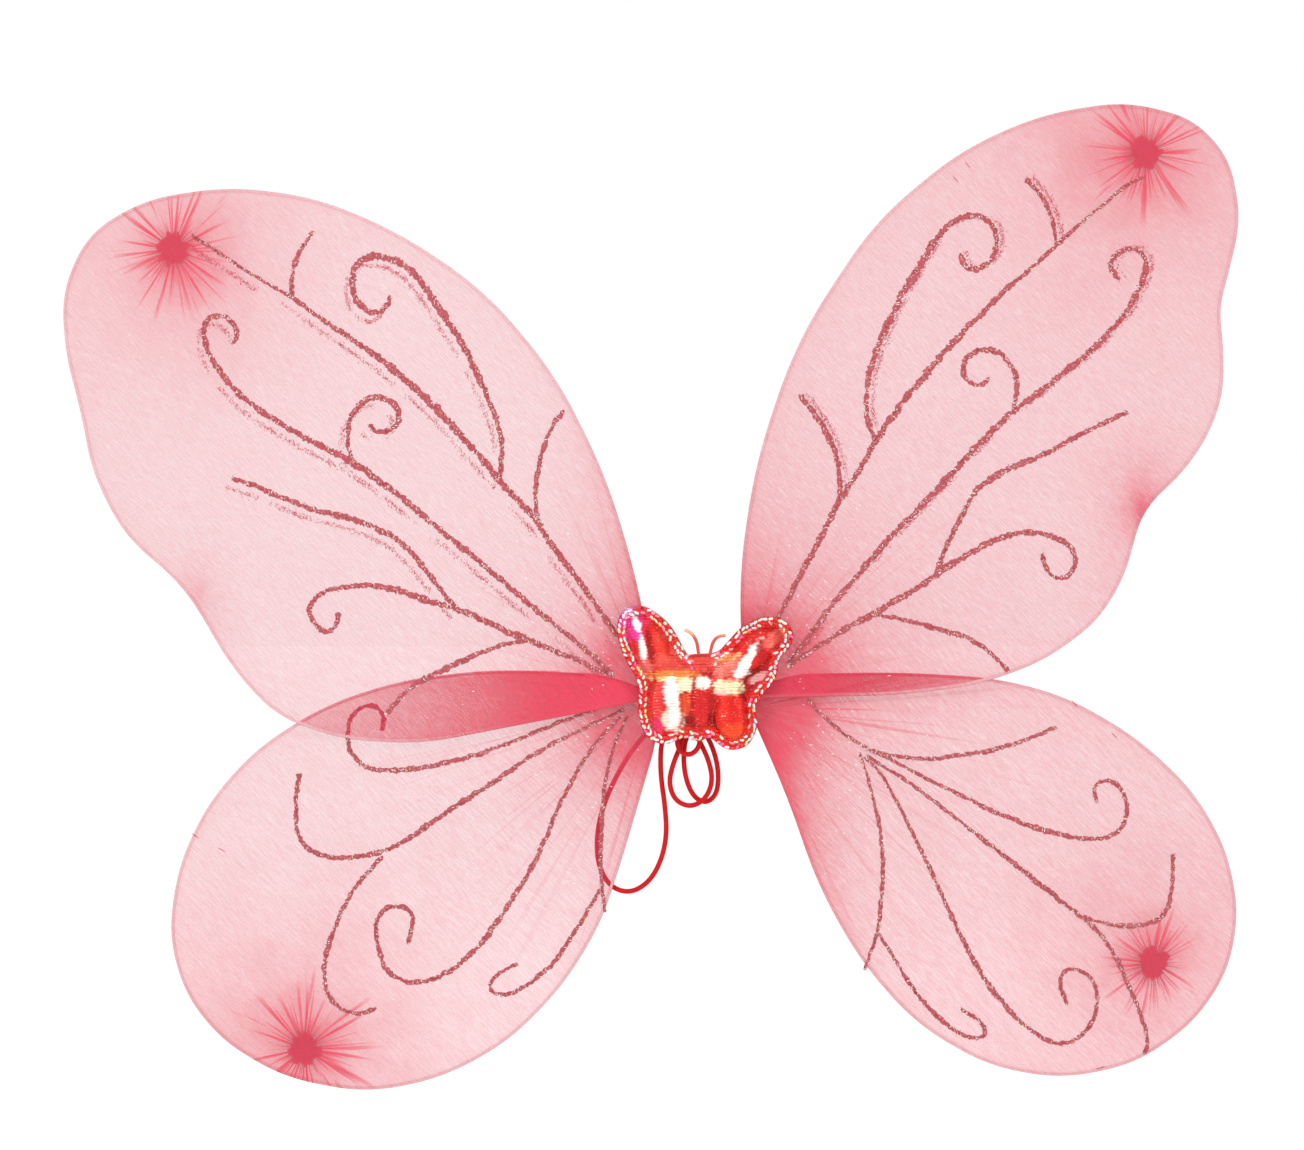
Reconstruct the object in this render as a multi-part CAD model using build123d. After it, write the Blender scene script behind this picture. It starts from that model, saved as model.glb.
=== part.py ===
from build123d import *
from math import pi, radians, tan
import os

# Child's fairy wings: four wire loops covered in stocking nylon, bound together at the middle,
# with a padded butterfly on the front and two elastic arm loops.
# Millimetres. +Z is up as the wings are worn, the decorated front faces -Y, the wearer is at +Y.
# The origin is the middle of the back patch's rear face, which lies against the wearer's back.

# ---- driving dimensions ----
WIRE_RADIUS = 0.75
NYLON_THICKNESS = 0.6
NYLON_CLEARANCE = 0.25          # from the wire's inner side to the edge of the plain nylon plate
UPPER_PLANE_Y = -10.5           # middle plane of the two upper wings
LOWER_PLANE_Y = -5.5            # middle plane of the two lower wings, behind the upper ones
PIVOT_X = 22.0                  # where the wires of one side are twisted together
FOLD_X = 12.0                   # fold line between the centre binding and each side
FOLD_Y = -8.0
KNUCKLE_RADIUS = 3.0
HUB_RADIUS = 3.5                # twisted wire ends and gathered nylon of one wing
HUB_THICKNESS = 4.0
HUB_THREAD = 0.4
HUB_THREAD_CLEARANCE = 0.3      # from the wires to the hub's thread
PIN_RADIUS = 1.2
RUNNING_GAP = 0.5
EAR_THICKNESS = 0.9             # the two ears of a root wrap that hold its pin
EAR_INNER_X = 16.8
EAR_OUTER_X = 25.0
TUFT_NECK_RADIUS = 2.2          # the stocking's cut end behind a wing's tip
TUFT_FLARE_RADIUS = 4.5
TUFT_NECK_LENGTH = 2.0
TUFT_LENGTH = 5.0
TUFT_THREAD_WIDTH = 1.2
TUFT_THREAD_DEPTH = 0.5
ROOT_HALF_HEIGHT = 9.0
BINDING_HALF_WIDTH = 8.5
BINDING_FRONT_Y = -13.0
PATCH_WIDTH = 18.0
PATCH_HEIGHT = 18.0
PATCH_THICKNESS = 2.0
CORNER_RADIUS = 3.0             # rounded corners of binding and patch
GLUE_RADIUS = 7.0
GLUE_THICKNESS = 1.5
BACKING_THICKNESS = 0.8
FLANGE_THICKNESS = 2.0
STITCH_INSET = 2.5              # from the butterfly's edge to the line of stitches
PUFF_HEIGHT = 6.5
COVER_THICKNESS = 1.0
STITCH_RADIUS = 0.7
ANTENNA_RADIUS = 0.8
ELASTIC_RADIUS = 1.25
KNOT_RADIUS = 2.4
ARC_SHARE = 0.45                # part of a run that the arc at each of its ends may take up
CUT_MARGIN = 1.0                # how far a cutting shape reaches past the body it cuts

# ---- places that follow from them ----
EAR_FRONT_Y = UPPER_PLANE_Y - HUB_THICKNESS / 2 - RUNNING_GAP / 2
EAR_BACK_Y = LOWER_PLANE_Y + HUB_THICKNESS / 2 + RUNNING_GAP / 2
BACKING_BACK_Y = BINDING_FRONT_Y - GLUE_THICKNESS
FLANGE_BACK_Y = BACKING_BACK_Y - BACKING_THICKNESS
PUFF_BACK_Y = FLANGE_BACK_Y - FLANGE_THICKNESS


# ---- outlines of the wire loops, as (x, z) corners outside the rounded bends ----
UPPER_LEFT = [
    (-33.3, 60), (-48.5, 110), (-74, 161), (-109, 202), (-150, 230), (-192, 248), (-236, 253.5),
    (-277, 247), (-305, 230.5), (-318, 202), (-316.5, 172), (-308.5, 142), (-303, 112),
    (-287, 80.5), (-257.5, 56), (-232.5, 13.5), (-211, -9.5), (-180, -20.5), (-140, -23),
]
UPPER_RIGHT = [
    (19.8, 62), (28.5, 118), (49, 178), (88, 237), (130, 271.5), (170, 289.5), (212, 296),
    (245, 287.5), (263, 268), (268.5, 238), (262.5, 212), (257.5, 193.5), (260, 172),
    (259.5, 150), (252, 130), (240, 112.5), (219.5, 93.5), (210.5, 60), (197.5, 38.5),
    (172, 19), (140, 7), (100, 1.5),
]
LOWER_LEFT = [
    (-48, 10), (-104, 12.5), (-150, 7), (-188, -5.5), (-222, -27), (-246, -54), (-261, -86),
    (-265.5, -120), (-257.5, -149), (-239, -172), (-209, -190), (-168, -198), (-130, -190.5),
    (-97, -172.5), (-70, -145), (-51, -114), (-40.5, -82), (-23, -22),
]
LOWER_RIGHT = [
    (44, 10), (100, 11), (148, 8), (182, -1), (217, -21), (245, -47), (262, -76),
    (268.5, -108), (263, -138), (246, -163), (218, -183), (181, -191), (144, -184.5),
    (108, -163.5), (80, -131.5), (59, -93.5), (44, -49.5),
]
TIP_KNOT = {
    "upper_left": (-263.5, 223),
    "upper_right": (222, 271),
    "lower_left": (-198.5, -176.5),
    "lower_right": (226.5, -134),
}

# ---- outline of the padded butterfly, (x, z), clockwise from the left side of the head ----
BUTTERFLY = [
    (-4, 21), (6, 21.5), (9.5, 23), (20, 34.8), (30, 39.7), (40, 39.5), (46, 32.5), (44.5, 24.5),
    (38, 19.5), (37.5, 9), (29.5, 0.5), (26.3, -5), (28.3, -15), (23, -25), (13, -27), (4, -19.5),
    (-1, -22.5),
    (-9, -19.5), (-18, -24.5), (-28, -20), (-31.5, -8), (-30.5, 7), (-37, 17), (-42.5, 32),
    (-40, 43), (-29, 46), (-16, 37), (-7, 20.5),
]
# padded swellings of the butterfly: centre x, centre z, half length, half width, tilt in degrees
LOBES = [
    (-26.5, 26, 15, 8.5, 112), (26, 23.2, 15, 7.5, 36), (-18.3, -5, 13.5, 9, 90),
    (15, -9, 12, 7.6, 90), (-0.8, 1.5, 16, 5.5, 90), (-13, 11.5, 12, 7, 150), (12, 9, 12, 7.5, 45),
    (-8, -2, 8, 7, 0), (8, -2, 8, 7, 0),
]
ANTENNA_LEFT = [(-1.3, 21), (-2.3, 27.5), (-4.6, 31.5), (-8.2, 33.3)]
ANTENNA_RIGHT = [(4.2, 21), (5.6, 27), (8, 30), (12, 30.6)]
ANTENNA_Y = -18.5

# ---- routes of the elastic arm loops, (x, y, z) ----
LEFT_KNOT = (-15.8, -3.8, -11.3)
LEFT_STRAP = [
    (-17.4, -3.6, -12.2), (-22.5, -2.9, -14.8), (-29.5, -2.8, -21), (-37, -2.8, -31),
    (-44.3, -2.8, -44), (-49.8, -2.8, -57.5), (-52.4, -2.8, -72), (-51.4, -2.8, -85.5),
    (-45.5, -2.8, -96), (-35.5, -2.8, -99.2), (-25.8, -2.8, -93.5), (-19.7, -2.8, -82.5),
    (-17, -2.8, -69.5), (-18, -2.8, -55), (-20.2, -2.8, -40), (-20.2, -2.8, -26),
    (-18, -3.2, -18), (-15.6, -3.8, -12.9),
]
RIGHT_KNOT = (-2, -6.2, -11.3)
RIGHT_STRAP = [
    (-3.4, -7.6, -11.9), (-8.8, -9.4, -13.4), (-12.4, -9.6, -19.5), (-11.2, -9.6, -27.5),
    (-5.8, -9.6, -29.8), (-1, -9.6, -26), (-0.4, -9.4, -19.5), (-3.4, -8, -15.5),
    (-8.2, -6.4, -17.5), (-10.2, -6.2, -25), (-14, -6.2, -34), (-16.2, -6.2, -43.5),
    (-13, -6.2, -52.5), (-5, -6.2, -55.8), (2.5, -6.2, -51.5), (6, -6.2, -42.5),
    (4, -6.2, -32.5), (0, -6, -24), (-3, -4, -18), (-7.6, -3, -20.5), (-8.8, -3, -30.5),
    (-7.8, -3, -41), (-4, -3, -50.5), (2.5, -3, -54.2), (8, -3, -49.5), (9, -3, -40),
    (7.4, -3, -30), (3.4, -3.6, -20.5), (-0.8, -5.2, -12.6),
]


def corner_radii(points):
    """Radius of the arc at each inner point: it takes up ARC_SHARE of the shorter run beside it."""
    radii = []
    for before, here, after in zip(points, points[1:], points[2:]):
        run_in = here - before
        run_out = after - here
        half_turn = radians(run_in.get_angle(run_out) / 2)
        radii.append(ARC_SHARE * min(run_in.length, run_out.length) / tan(half_turn))
    return radii


def rounded_path(points):
    """Straight runs joined by tangent arcs through a list of Vectors."""
    return FilletPolyline(points, radius=corner_radii(points))


def tube(path, radius):
    section = Plane(origin=path @ 0, z_dir=path % 0) * Circle(radius)
    return sweep(section, path=path)


def inset_corners(corners, distance):
    """Moves each (x, z) corner of a clockwise ring inwards, so that every side moves by `distance`."""
    moved = []
    for index, (x, z) in enumerate(corners):
        before = Vector(*corners[index - 1])
        here = Vector(x, z)
        after = Vector(*corners[(index + 1) % len(corners)])
        inward_in = (here - before).normalized().rotate(Axis.Z, -90)
        inward_out = (after - here).normalized().rotate(Axis.Z, -90)
        mitre = (inward_in + inward_out) / (1 + inward_in.dot(inward_out))
        moved.append(tuple(here + mitre * distance)[:2])
    return moved


def rounded_face(corners):
    """Face in the XZ plane's own axes, inside a closed ring of (x, z) corners with rounded bends."""
    ring = [Vector(x, z, 0) for x, z in corners]
    radii = corner_radii([ring[-1]] + ring + [ring[0]])
    return make_face(FilletPolyline(ring, radius=radii, close=True))


def standing(shape, y):
    """Turns a shape drawn on XY, built up along +Z, to stand at y and grow towards -Y."""
    return Pos(0, y, 0) * Rot(90, 0, 0) * shape


def save(shape, node):
    export_step(shape, f"parts/{node}.step")


# ---- one wing ----
def wing_path(corners, pivot_x, plane_y, start_gap):
    """Centre line of a wing's wire, from its hub round the loop and back to its hub."""
    pivot = Vector(pivot_x, plane_y, 0)
    points = [Vector(x, plane_y, z) for x, z in corners]
    first = pivot + (points[0] - pivot).normalized() * start_gap
    last = pivot + (points[-1] - pivot).normalized() * start_gap
    return rounded_path([first] + points + [last])


def wing_nylon(corners, pivot_x, plane_y):
    """Plain plate that fills the wire loop, clear of the wire and of the hub."""
    ring = [Vector(pivot_x, 0, 0)] + [Vector(x, z, 0) for x, z in corners]
    radii = [0] + corner_radii(ring + [ring[0]])
    loop = FilletPolyline(ring, radius=radii, close=True)
    inset = WIRE_RADIUS + NYLON_CLEARANCE
    face = offset(make_face(loop), -inset)
    face -= Pos(pivot_x, 0) * Circle(HUB_RADIUS + RUNNING_GAP)
    return standing(extrude(face, NYLON_THICKNESS), plane_y + NYLON_THICKNESS / 2)


def wing_hub(pivot_x, plane_y):
    """Round bunch of twisted wire ends and gathered nylon, with the pin's hole through it."""
    disc = Circle(HUB_RADIUS) - Circle(PIN_RADIUS + RUNNING_GAP / 2)
    body = extrude(disc, HUB_THICKNESS)
    return standing(Pos(pivot_x, 0, 0) * body, plane_y + HUB_THICKNESS / 2)


def wing_hub_thread(pivot_x, plane_y):
    """Thread wound round the back half of the hub, behind the wires."""
    width = HUB_THICKNESS / 2 - WIRE_RADIUS - HUB_THREAD_CLEARANCE
    ring = Circle(HUB_RADIUS + HUB_THREAD) - Circle(HUB_RADIUS)
    return standing(Pos(pivot_x, 0, 0) * extrude(ring, width), plane_y + HUB_THICKNESS / 2)


def tip_tuft(knot, plane_y):
    """Cut end of the stocking, bunched behind the wing: a neck that flares out."""
    profile = Polyline([
        (0, 0), (TUFT_NECK_RADIUS, 0), (TUFT_NECK_RADIUS, TUFT_NECK_LENGTH),
        (TUFT_FLARE_RADIUS, TUFT_LENGTH), (0, TUFT_LENGTH), (0, 0),
    ])
    body = revolve(make_face(profile), axis=Axis.Y)
    return Pos(knot[0], plane_y + NYLON_THICKNESS / 2, knot[1]) * body


def tip_thread(knot, plane_y):
    """Thread tied round the tuft's neck."""
    ring = Circle(TUFT_NECK_RADIUS + TUFT_THREAD_DEPTH) - Circle(TUFT_NECK_RADIUS)
    back = plane_y + NYLON_THICKNESS / 2 + (TUFT_NECK_LENGTH + TUFT_THREAD_WIDTH) / 2
    return standing(Pos(*knot) * extrude(ring, TUFT_THREAD_WIDTH), back)


def make_wing(name, corners, side, plane_y):
    pivot_x = side * PIVOT_X
    knot = TIP_KNOT[name]
    save(tube(wing_path(corners, pivot_x, plane_y, HUB_RADIUS), WIRE_RADIUS), f"{name}_wire")
    save(wing_nylon(corners, pivot_x, plane_y), f"{name}_nylon")
    save(wing_hub(pivot_x, plane_y), f"{name}_root_gather")
    save(wing_hub_thread(pivot_x, plane_y), f"{name}_root_thread")
    save(tip_tuft(knot, plane_y), f"{name}_tip_tuft")
    save(tip_thread(knot, plane_y), f"{name}_tip_thread")


# ---- the two sides of the root ----
def root_wrap(side):
    """Taped root of one side: a knuckle on the fold line, and two ears that hold the pin."""
    front = EAR_FRONT_Y - EAR_THICKNESS
    back = EAR_BACK_Y + EAR_THICKNESS
    height = 2 * ROOT_HALF_HEIGHT
    wedge = make_face(Polyline([
        (FOLD_X, FOLD_Y - KNUCKLE_RADIUS), (EAR_INNER_X, front), (EAR_OUTER_X, front),
        (EAR_OUTER_X, back), (EAR_INNER_X, back), (FOLD_X, FOLD_Y + KNUCKLE_RADIUS),
        (FOLD_X, FOLD_Y - KNUCKLE_RADIUS),
    ]))
    knuckle = Pos(FOLD_X, FOLD_Y) * Circle(KNUCKLE_RADIUS)
    body = Pos(0, 0, -ROOT_HALF_HEIGHT) * extrude(wedge + knuckle, height)
    slot_inner_x = PIVOT_X - HUB_RADIUS - HUB_THREAD - RUNNING_GAP
    slot = Box(EAR_OUTER_X - slot_inner_x + CUT_MARGIN, EAR_BACK_Y - EAR_FRONT_Y,
               height + CUT_MARGIN, align=(Align.MIN, Align.MIN, Align.CENTER))
    body -= Pos(slot_inner_x, EAR_FRONT_Y, 0) * slot
    body -= standing(Pos(PIVOT_X, 0, 0) * extrude(Circle(PIN_RADIUS), 2 * -front), 0)
    return body if side > 0 else mirror(body, about=Plane.YZ)


def root_pin(side):
    """The twisted wire ends that the wings of one side turn about."""
    length = EAR_BACK_Y - EAR_FRONT_Y + 2 * EAR_THICKNESS
    pin = extrude(Circle(PIN_RADIUS), length)
    return standing(Pos(side * PIVOT_X, 0, 0) * pin, EAR_BACK_Y + EAR_THICKNESS)


# ---- the centre ----
def centre_binding():
    depth = -PATCH_THICKNESS - BINDING_FRONT_Y
    outline = RectangleRounded(2 * BINDING_HALF_WIDTH, PATCH_HEIGHT, CORNER_RADIUS)
    return standing(extrude(outline, depth), -PATCH_THICKNESS)


def back_patch():
    outline = RectangleRounded(PATCH_WIDTH, PATCH_HEIGHT, CORNER_RADIUS)
    return standing(extrude(outline, PATCH_THICKNESS), 0)


def glue_disc():
    return standing(extrude(Circle(GLUE_RADIUS), GLUE_THICKNESS), BINDING_FRONT_Y)


def swellings(margin):
    """Outline of the padded middle: one ellipse for each lobe, grown by a margin."""
    face = Sketch()
    for x, z, half_length, half_width, tilt in LOBES:
        lobe = Ellipse(half_length + margin, half_width + margin)
        face += Pos(x, z) * Rot(0, 0, tilt) * lobe
    return face


def butterfly_cover(outline):
    """Foil cover: a flat border with a raised hollow middle."""
    border = standing(extrude(outline, FLANGE_THICKNESS), FLANGE_BACK_Y)
    puff = standing(extrude(swellings(0), PUFF_HEIGHT), PUFF_BACK_Y)
    return border + puff - butterfly_filling()


def butterfly_filling():
    """Wadding that fills the hollow of the cover."""
    depth = FLANGE_THICKNESS + PUFF_HEIGHT - COVER_THICKNESS
    return standing(extrude(swellings(-COVER_THICKNESS), depth), FLANGE_BACK_Y)


def butterfly_stitching():
    """Bead of thread along the flat border."""
    corners = inset_corners(BUTTERFLY, STITCH_INSET)
    ring = [Vector(x, PUFF_BACK_Y - STITCH_RADIUS, z) for x, z in corners]
    line = FilletPolyline(ring, radius=corner_radii([ring[-1]] + ring + [ring[0]]), close=True)
    return tube(line, STITCH_RADIUS)


def antenna(points):
    return tube(rounded_path([Vector(x, ANTENNA_Y, z) for x, z in points]), ANTENNA_RADIUS)


def strap(name, route):
    points = [Vector(*point) for point in route]
    path = rounded_path(points)
    shape = tube(path, ELASTIC_RADIUS)
    radii = corner_radii(points)
    print(name, "length", round(path.length, 1), "radii", [round(radius, 1) for radius in radii])
    section_area = pi * ELASTIC_RADIUS ** 2
    print(name, "volume", round(shape.volume, 1), "of", round(section_area * path.length, 1))
    return shape


def knot(centre):
    return Pos(*centre) * Sphere(KNOT_RADIUS)


def main():
    os.makedirs("parts", exist_ok=True)
    make_wing("upper_left", UPPER_LEFT, -1, UPPER_PLANE_Y)
    make_wing("upper_right", UPPER_RIGHT, 1, UPPER_PLANE_Y)
    make_wing("lower_left", LOWER_LEFT, -1, LOWER_PLANE_Y)
    make_wing("lower_right", LOWER_RIGHT, 1, LOWER_PLANE_Y)
    for name, side in (("left", -1), ("right", 1)):
        save(root_wrap(side), f"{name}_root_wrap")
        save(root_pin(side), f"{name}_root_pin")
    save(centre_binding(), "centre_binding")
    save(back_patch(), "back_patch")
    save(glue_disc(), "glue_disc")
    outline = rounded_face(BUTTERFLY)
    save(standing(extrude(outline, BACKING_THICKNESS), BACKING_BACK_Y), "butterfly_backing")
    save(butterfly_cover(outline), "butterfly_cover")
    save(butterfly_filling(), "butterfly_filling")
    save(butterfly_stitching(), "butterfly_stitching")
    save(antenna(ANTENNA_LEFT), "left_antenna")
    save(antenna(ANTENNA_RIGHT), "right_antenna")
    save(strap("left_strap", LEFT_STRAP), "left_strap")
    save(strap("right_strap", RIGHT_STRAP), "right_strap")
    save(knot(LEFT_KNOT), "left_strap_knot")
    save(knot(RIGHT_KNOT), "right_strap_knot")


main()
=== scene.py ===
"""Child's costume fairy wings: four nylon covered wire loops, a foil butterfly and two elastic arm loops."""

import math

import bpy
import numpy as np
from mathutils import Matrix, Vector, geometry, noise


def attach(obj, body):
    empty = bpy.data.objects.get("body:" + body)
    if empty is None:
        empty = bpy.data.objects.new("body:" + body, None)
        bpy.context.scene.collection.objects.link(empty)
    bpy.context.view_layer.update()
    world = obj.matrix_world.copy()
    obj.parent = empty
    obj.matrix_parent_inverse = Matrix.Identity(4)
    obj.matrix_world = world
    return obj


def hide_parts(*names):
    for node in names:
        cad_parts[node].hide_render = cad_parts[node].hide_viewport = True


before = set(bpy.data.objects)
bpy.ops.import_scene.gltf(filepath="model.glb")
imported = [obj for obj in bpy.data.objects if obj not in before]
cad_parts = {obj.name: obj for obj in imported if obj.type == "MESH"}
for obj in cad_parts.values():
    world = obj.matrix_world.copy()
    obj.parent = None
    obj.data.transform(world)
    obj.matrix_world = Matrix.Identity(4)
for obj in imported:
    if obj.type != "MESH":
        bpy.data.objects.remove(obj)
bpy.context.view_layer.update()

MM = 0.001
random = np.random.default_rng(11)


# ---------------------------------------------------------------- camera, light and floor


def add_camera():
    data = bpy.data.cameras.new("camera")
    data.sensor_width = 36
    data.lens = 85
    camera = bpy.data.objects.new("camera", data)
    camera.location = (-0.0245, -1.547, 0.0605)
    camera.rotation_euler = (math.radians(90), 0, 0)
    bpy.context.scene.collection.objects.link(camera)
    bpy.context.scene.camera = camera


def add_area(name, location, target, size, power):
    data = bpy.data.lights.new(name, "AREA")
    data.shape = "RECTANGLE"
    data.size, data.size_y = size
    data.energy = power
    light = bpy.data.objects.new(name, data)
    light.location = location
    direction = Vector(target) - Vector(location)
    light.rotation_euler = direction.to_track_quat("-Z", "Y").to_euler()
    bpy.context.scene.collection.objects.link(light)


add_camera()


# ---------------------------------------------------------------- small mesh helpers


def add_mesh(name, verts, faces, body, material, smooth=True):
    """verts are in millimetres; the piece rides on the body."""
    data = bpy.data.meshes.new(name)
    verts = np.asarray(verts, float) * MM
    data.from_pydata([tuple(v) for v in verts], [], faces)
    data.update()
    if smooth:
        data.polygons.foreach_set("use_smooth", [True] * len(data.polygons))
    data.materials.append(material)
    piece = bpy.data.objects.new(name, data)
    bpy.context.scene.collection.objects.link(piece)
    if body:
        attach(piece, body)
    return piece


def add_attribute(piece, name, kind, values):
    attribute = piece.data.attributes.new(name, kind, "POINT")
    field = {"FLOAT": "value", "FLOAT_VECTOR": "vector", "FLOAT_COLOR": "color"}[kind]
    attribute.data.foreach_set(field, np.asarray(values, np.float32).ravel())


def upright(flat, y):
    """Points (x, y, z) from points (x, z) and a depth."""
    return np.stack([flat[:, 0], np.broadcast_to(y, len(flat)), flat[:, 1]], 1)


def bands(rows, sides, closed=False):
    """Quads between rows of points that run round a tube."""
    faces = []
    for i in range(rows if closed else rows - 1):
        a, b = i * sides, (i + 1) % rows * sides
        for k in range(sides):
            n = (k + 1) % sides
            faces.append((a + k, a + n, b + n, b + k))
    return faces


def unit(v):
    length = np.linalg.norm(v, axis=-1, keepdims=True)
    return v / np.maximum(length, 1e-9)


def tube(points, radii, sides, closed=False):
    """Vertices, faces, distance along and angle around of a tube that follows the points."""
    points = np.asarray(points, float)
    count = len(points)
    radii = np.broadcast_to(np.asarray(radii, float), (count,))
    if closed:
        tangents = unit(np.roll(points, -1, 0) - np.roll(points, 1, 0))
    else:
        tangents = unit(np.gradient(points, axis=0))
    side = np.cross(tangents[0], [0.31, 0.77, 0.55])
    side /= np.linalg.norm(side)
    verts, along, around = [], [], []
    distance = 0.0
    for i in range(count):
        if i:
            distance += np.linalg.norm(points[i] - points[i - 1])
        side = side - tangents[i] * side.dot(tangents[i])
        side /= np.linalg.norm(side)
        other = np.cross(tangents[i], side)
        for k in range(sides):
            angle = 2 * math.pi * k / sides
            verts.append(points[i] + radii[i] * (side * math.cos(angle) + other * math.sin(angle)))
            along.append(distance)
            around.append(angle)
    faces = bands(count, sides, closed)
    if not closed:
        faces.append(tuple(reversed(range(sides))))
        faces.append(tuple(range((count - 1) * sides, count * sides)))
    return np.array(verts), faces, np.array(along), np.array(around)


def softened(points, rounds=3):
    """Corner cut open polyline through the given points, its ends kept."""
    points = np.asarray(points, float)
    for _ in range(rounds):
        a, b = points[:-1], points[1:]
        cut = np.stack([a * 0.75 + b * 0.25, a * 0.25 + b * 0.75], 1).reshape(-1, points.shape[1])
        points = np.vstack([points[:1], cut[1:-1], points[-1:]])
    return points


def spaced(points, step, closed=False):
    """The polyline with evenly spaced points."""
    points = np.asarray(points, float)
    if closed:
        points = np.vstack([points, points[:1]])
    s = np.concatenate([[0], np.cumsum(np.linalg.norm(np.diff(points, axis=0), axis=1))])
    count = max(3, int(round(s[-1] / step)))
    at = np.linspace(0, s[-1], count + 1)
    if closed:
        at = at[:-1]
    return np.stack([np.interp(at, s, points[:, k]) for k in range(points.shape[1])], 1)


WELD = 1e-5


def plate_outline(node):
    """The outline (x, z) in millimetres, anticlockwise, of a flat CAD plate's front face."""
    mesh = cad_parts[node].data
    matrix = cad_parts[node].matrix_world
    co = [matrix @ v.co for v in mesh.vertices]
    front = min(v.y for v in co)

    def key(v):
        return round(v.x / WELD), round(v.z / WELD)

    place = {key(v): (v.x / MM, v.z / MM) for v in co}
    used = {}
    for face in mesh.polygons:
        corners = [co[i] for i in face.vertices]
        if max(v.y for v in corners) - front > 2 * WELD:
            continue
        keys = [key(v) for v in corners]
        for a, b in zip(keys, keys[1:] + keys[:1]):
            used[(a, b)] = used.get((a, b), 0) + 1
    rim = {a: b for (a, b) in used if (b, a) not in used}
    start = next(iter(rim))
    loop, here = [start], rim[start]
    while here != start:
        loop.append(here)
        here = rim[here]
    ring = np.array([place[k] for k in loop])
    x, z = ring[:, 0], ring[:, 1]
    if np.sum(x * np.roll(z, -1) - np.roll(x, -1) * z) < 0:
        ring = ring[::-1]
    return ring


def outward(ring):
    tangent = unit(np.roll(ring, -1, 0) - np.roll(ring, 1, 0))
    return np.stack([tangent[:, 1], -tangent[:, 0]], 1)


def inside(points, ring):
    x, z = points[:, 0][:, None], points[:, 1][:, None]
    ax, az = ring[:, 0][None], ring[:, 1][None]
    bx, bz = np.roll(ring[:, 0], -1)[None], np.roll(ring[:, 1], -1)[None]
    rise = np.where(np.abs(bz - az) < 1e-12, 1e-12, bz - az)
    crossing = ((az > z) != (bz > z)) & (x < (bx - ax) * (z - az) / rise + ax)
    return crossing.sum(1) % 2 == 1


def edge_distance(points, ring):
    """Distance of each point from a closed ring."""
    a, b = ring, np.roll(ring, -1, 0)
    d = b - a
    length = np.maximum((d * d).sum(1), 1e-12)
    result = np.empty(len(points))
    for start in range(0, len(points), 2000):
        p = points[start : start + 2000, None, :]
        t = np.clip(((p - a) * d).sum(2) / length, 0, 1)
        gap = np.linalg.norm(p - (a + t[..., None] * d), axis=2)
        result[start : start + 2000] = gap.min(1)
    return result


def filled(ring, extra):
    """Triangles between a ring's points and the extra points inside it."""
    points = [Vector(p) for p in np.vstack([ring, extra])]
    count = len(ring)
    edges = [(i, (i + 1) % count) for i in range(count)]
    out = geometry.delaunay_2d_cdt(points, edges, [], 1, 1e-6)
    source = [original[0] for original in out[3]]
    return [tuple(source[i] for i in face) for face in out[2]]


def hex_points(ring, step, margin):
    low, high = ring.min(0), ring.max(0)
    rows = np.arange(low[1], high[1], step * 0.866)
    grid = []
    for k, z in enumerate(rows):
        xs = np.arange(low[0] + (k % 2) * step / 2, high[0], step)
        grid.append(np.stack([xs, np.full(len(xs), z)], 1))
    grid = np.vstack(grid)
    grid += random.uniform(-0.12, 0.12, grid.shape) * step
    grid = grid[inside(grid, ring)]
    return grid[edge_distance(grid, ring) > margin]


# ---------------------------------------------------------------- materials


EULER = 2.718


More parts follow.
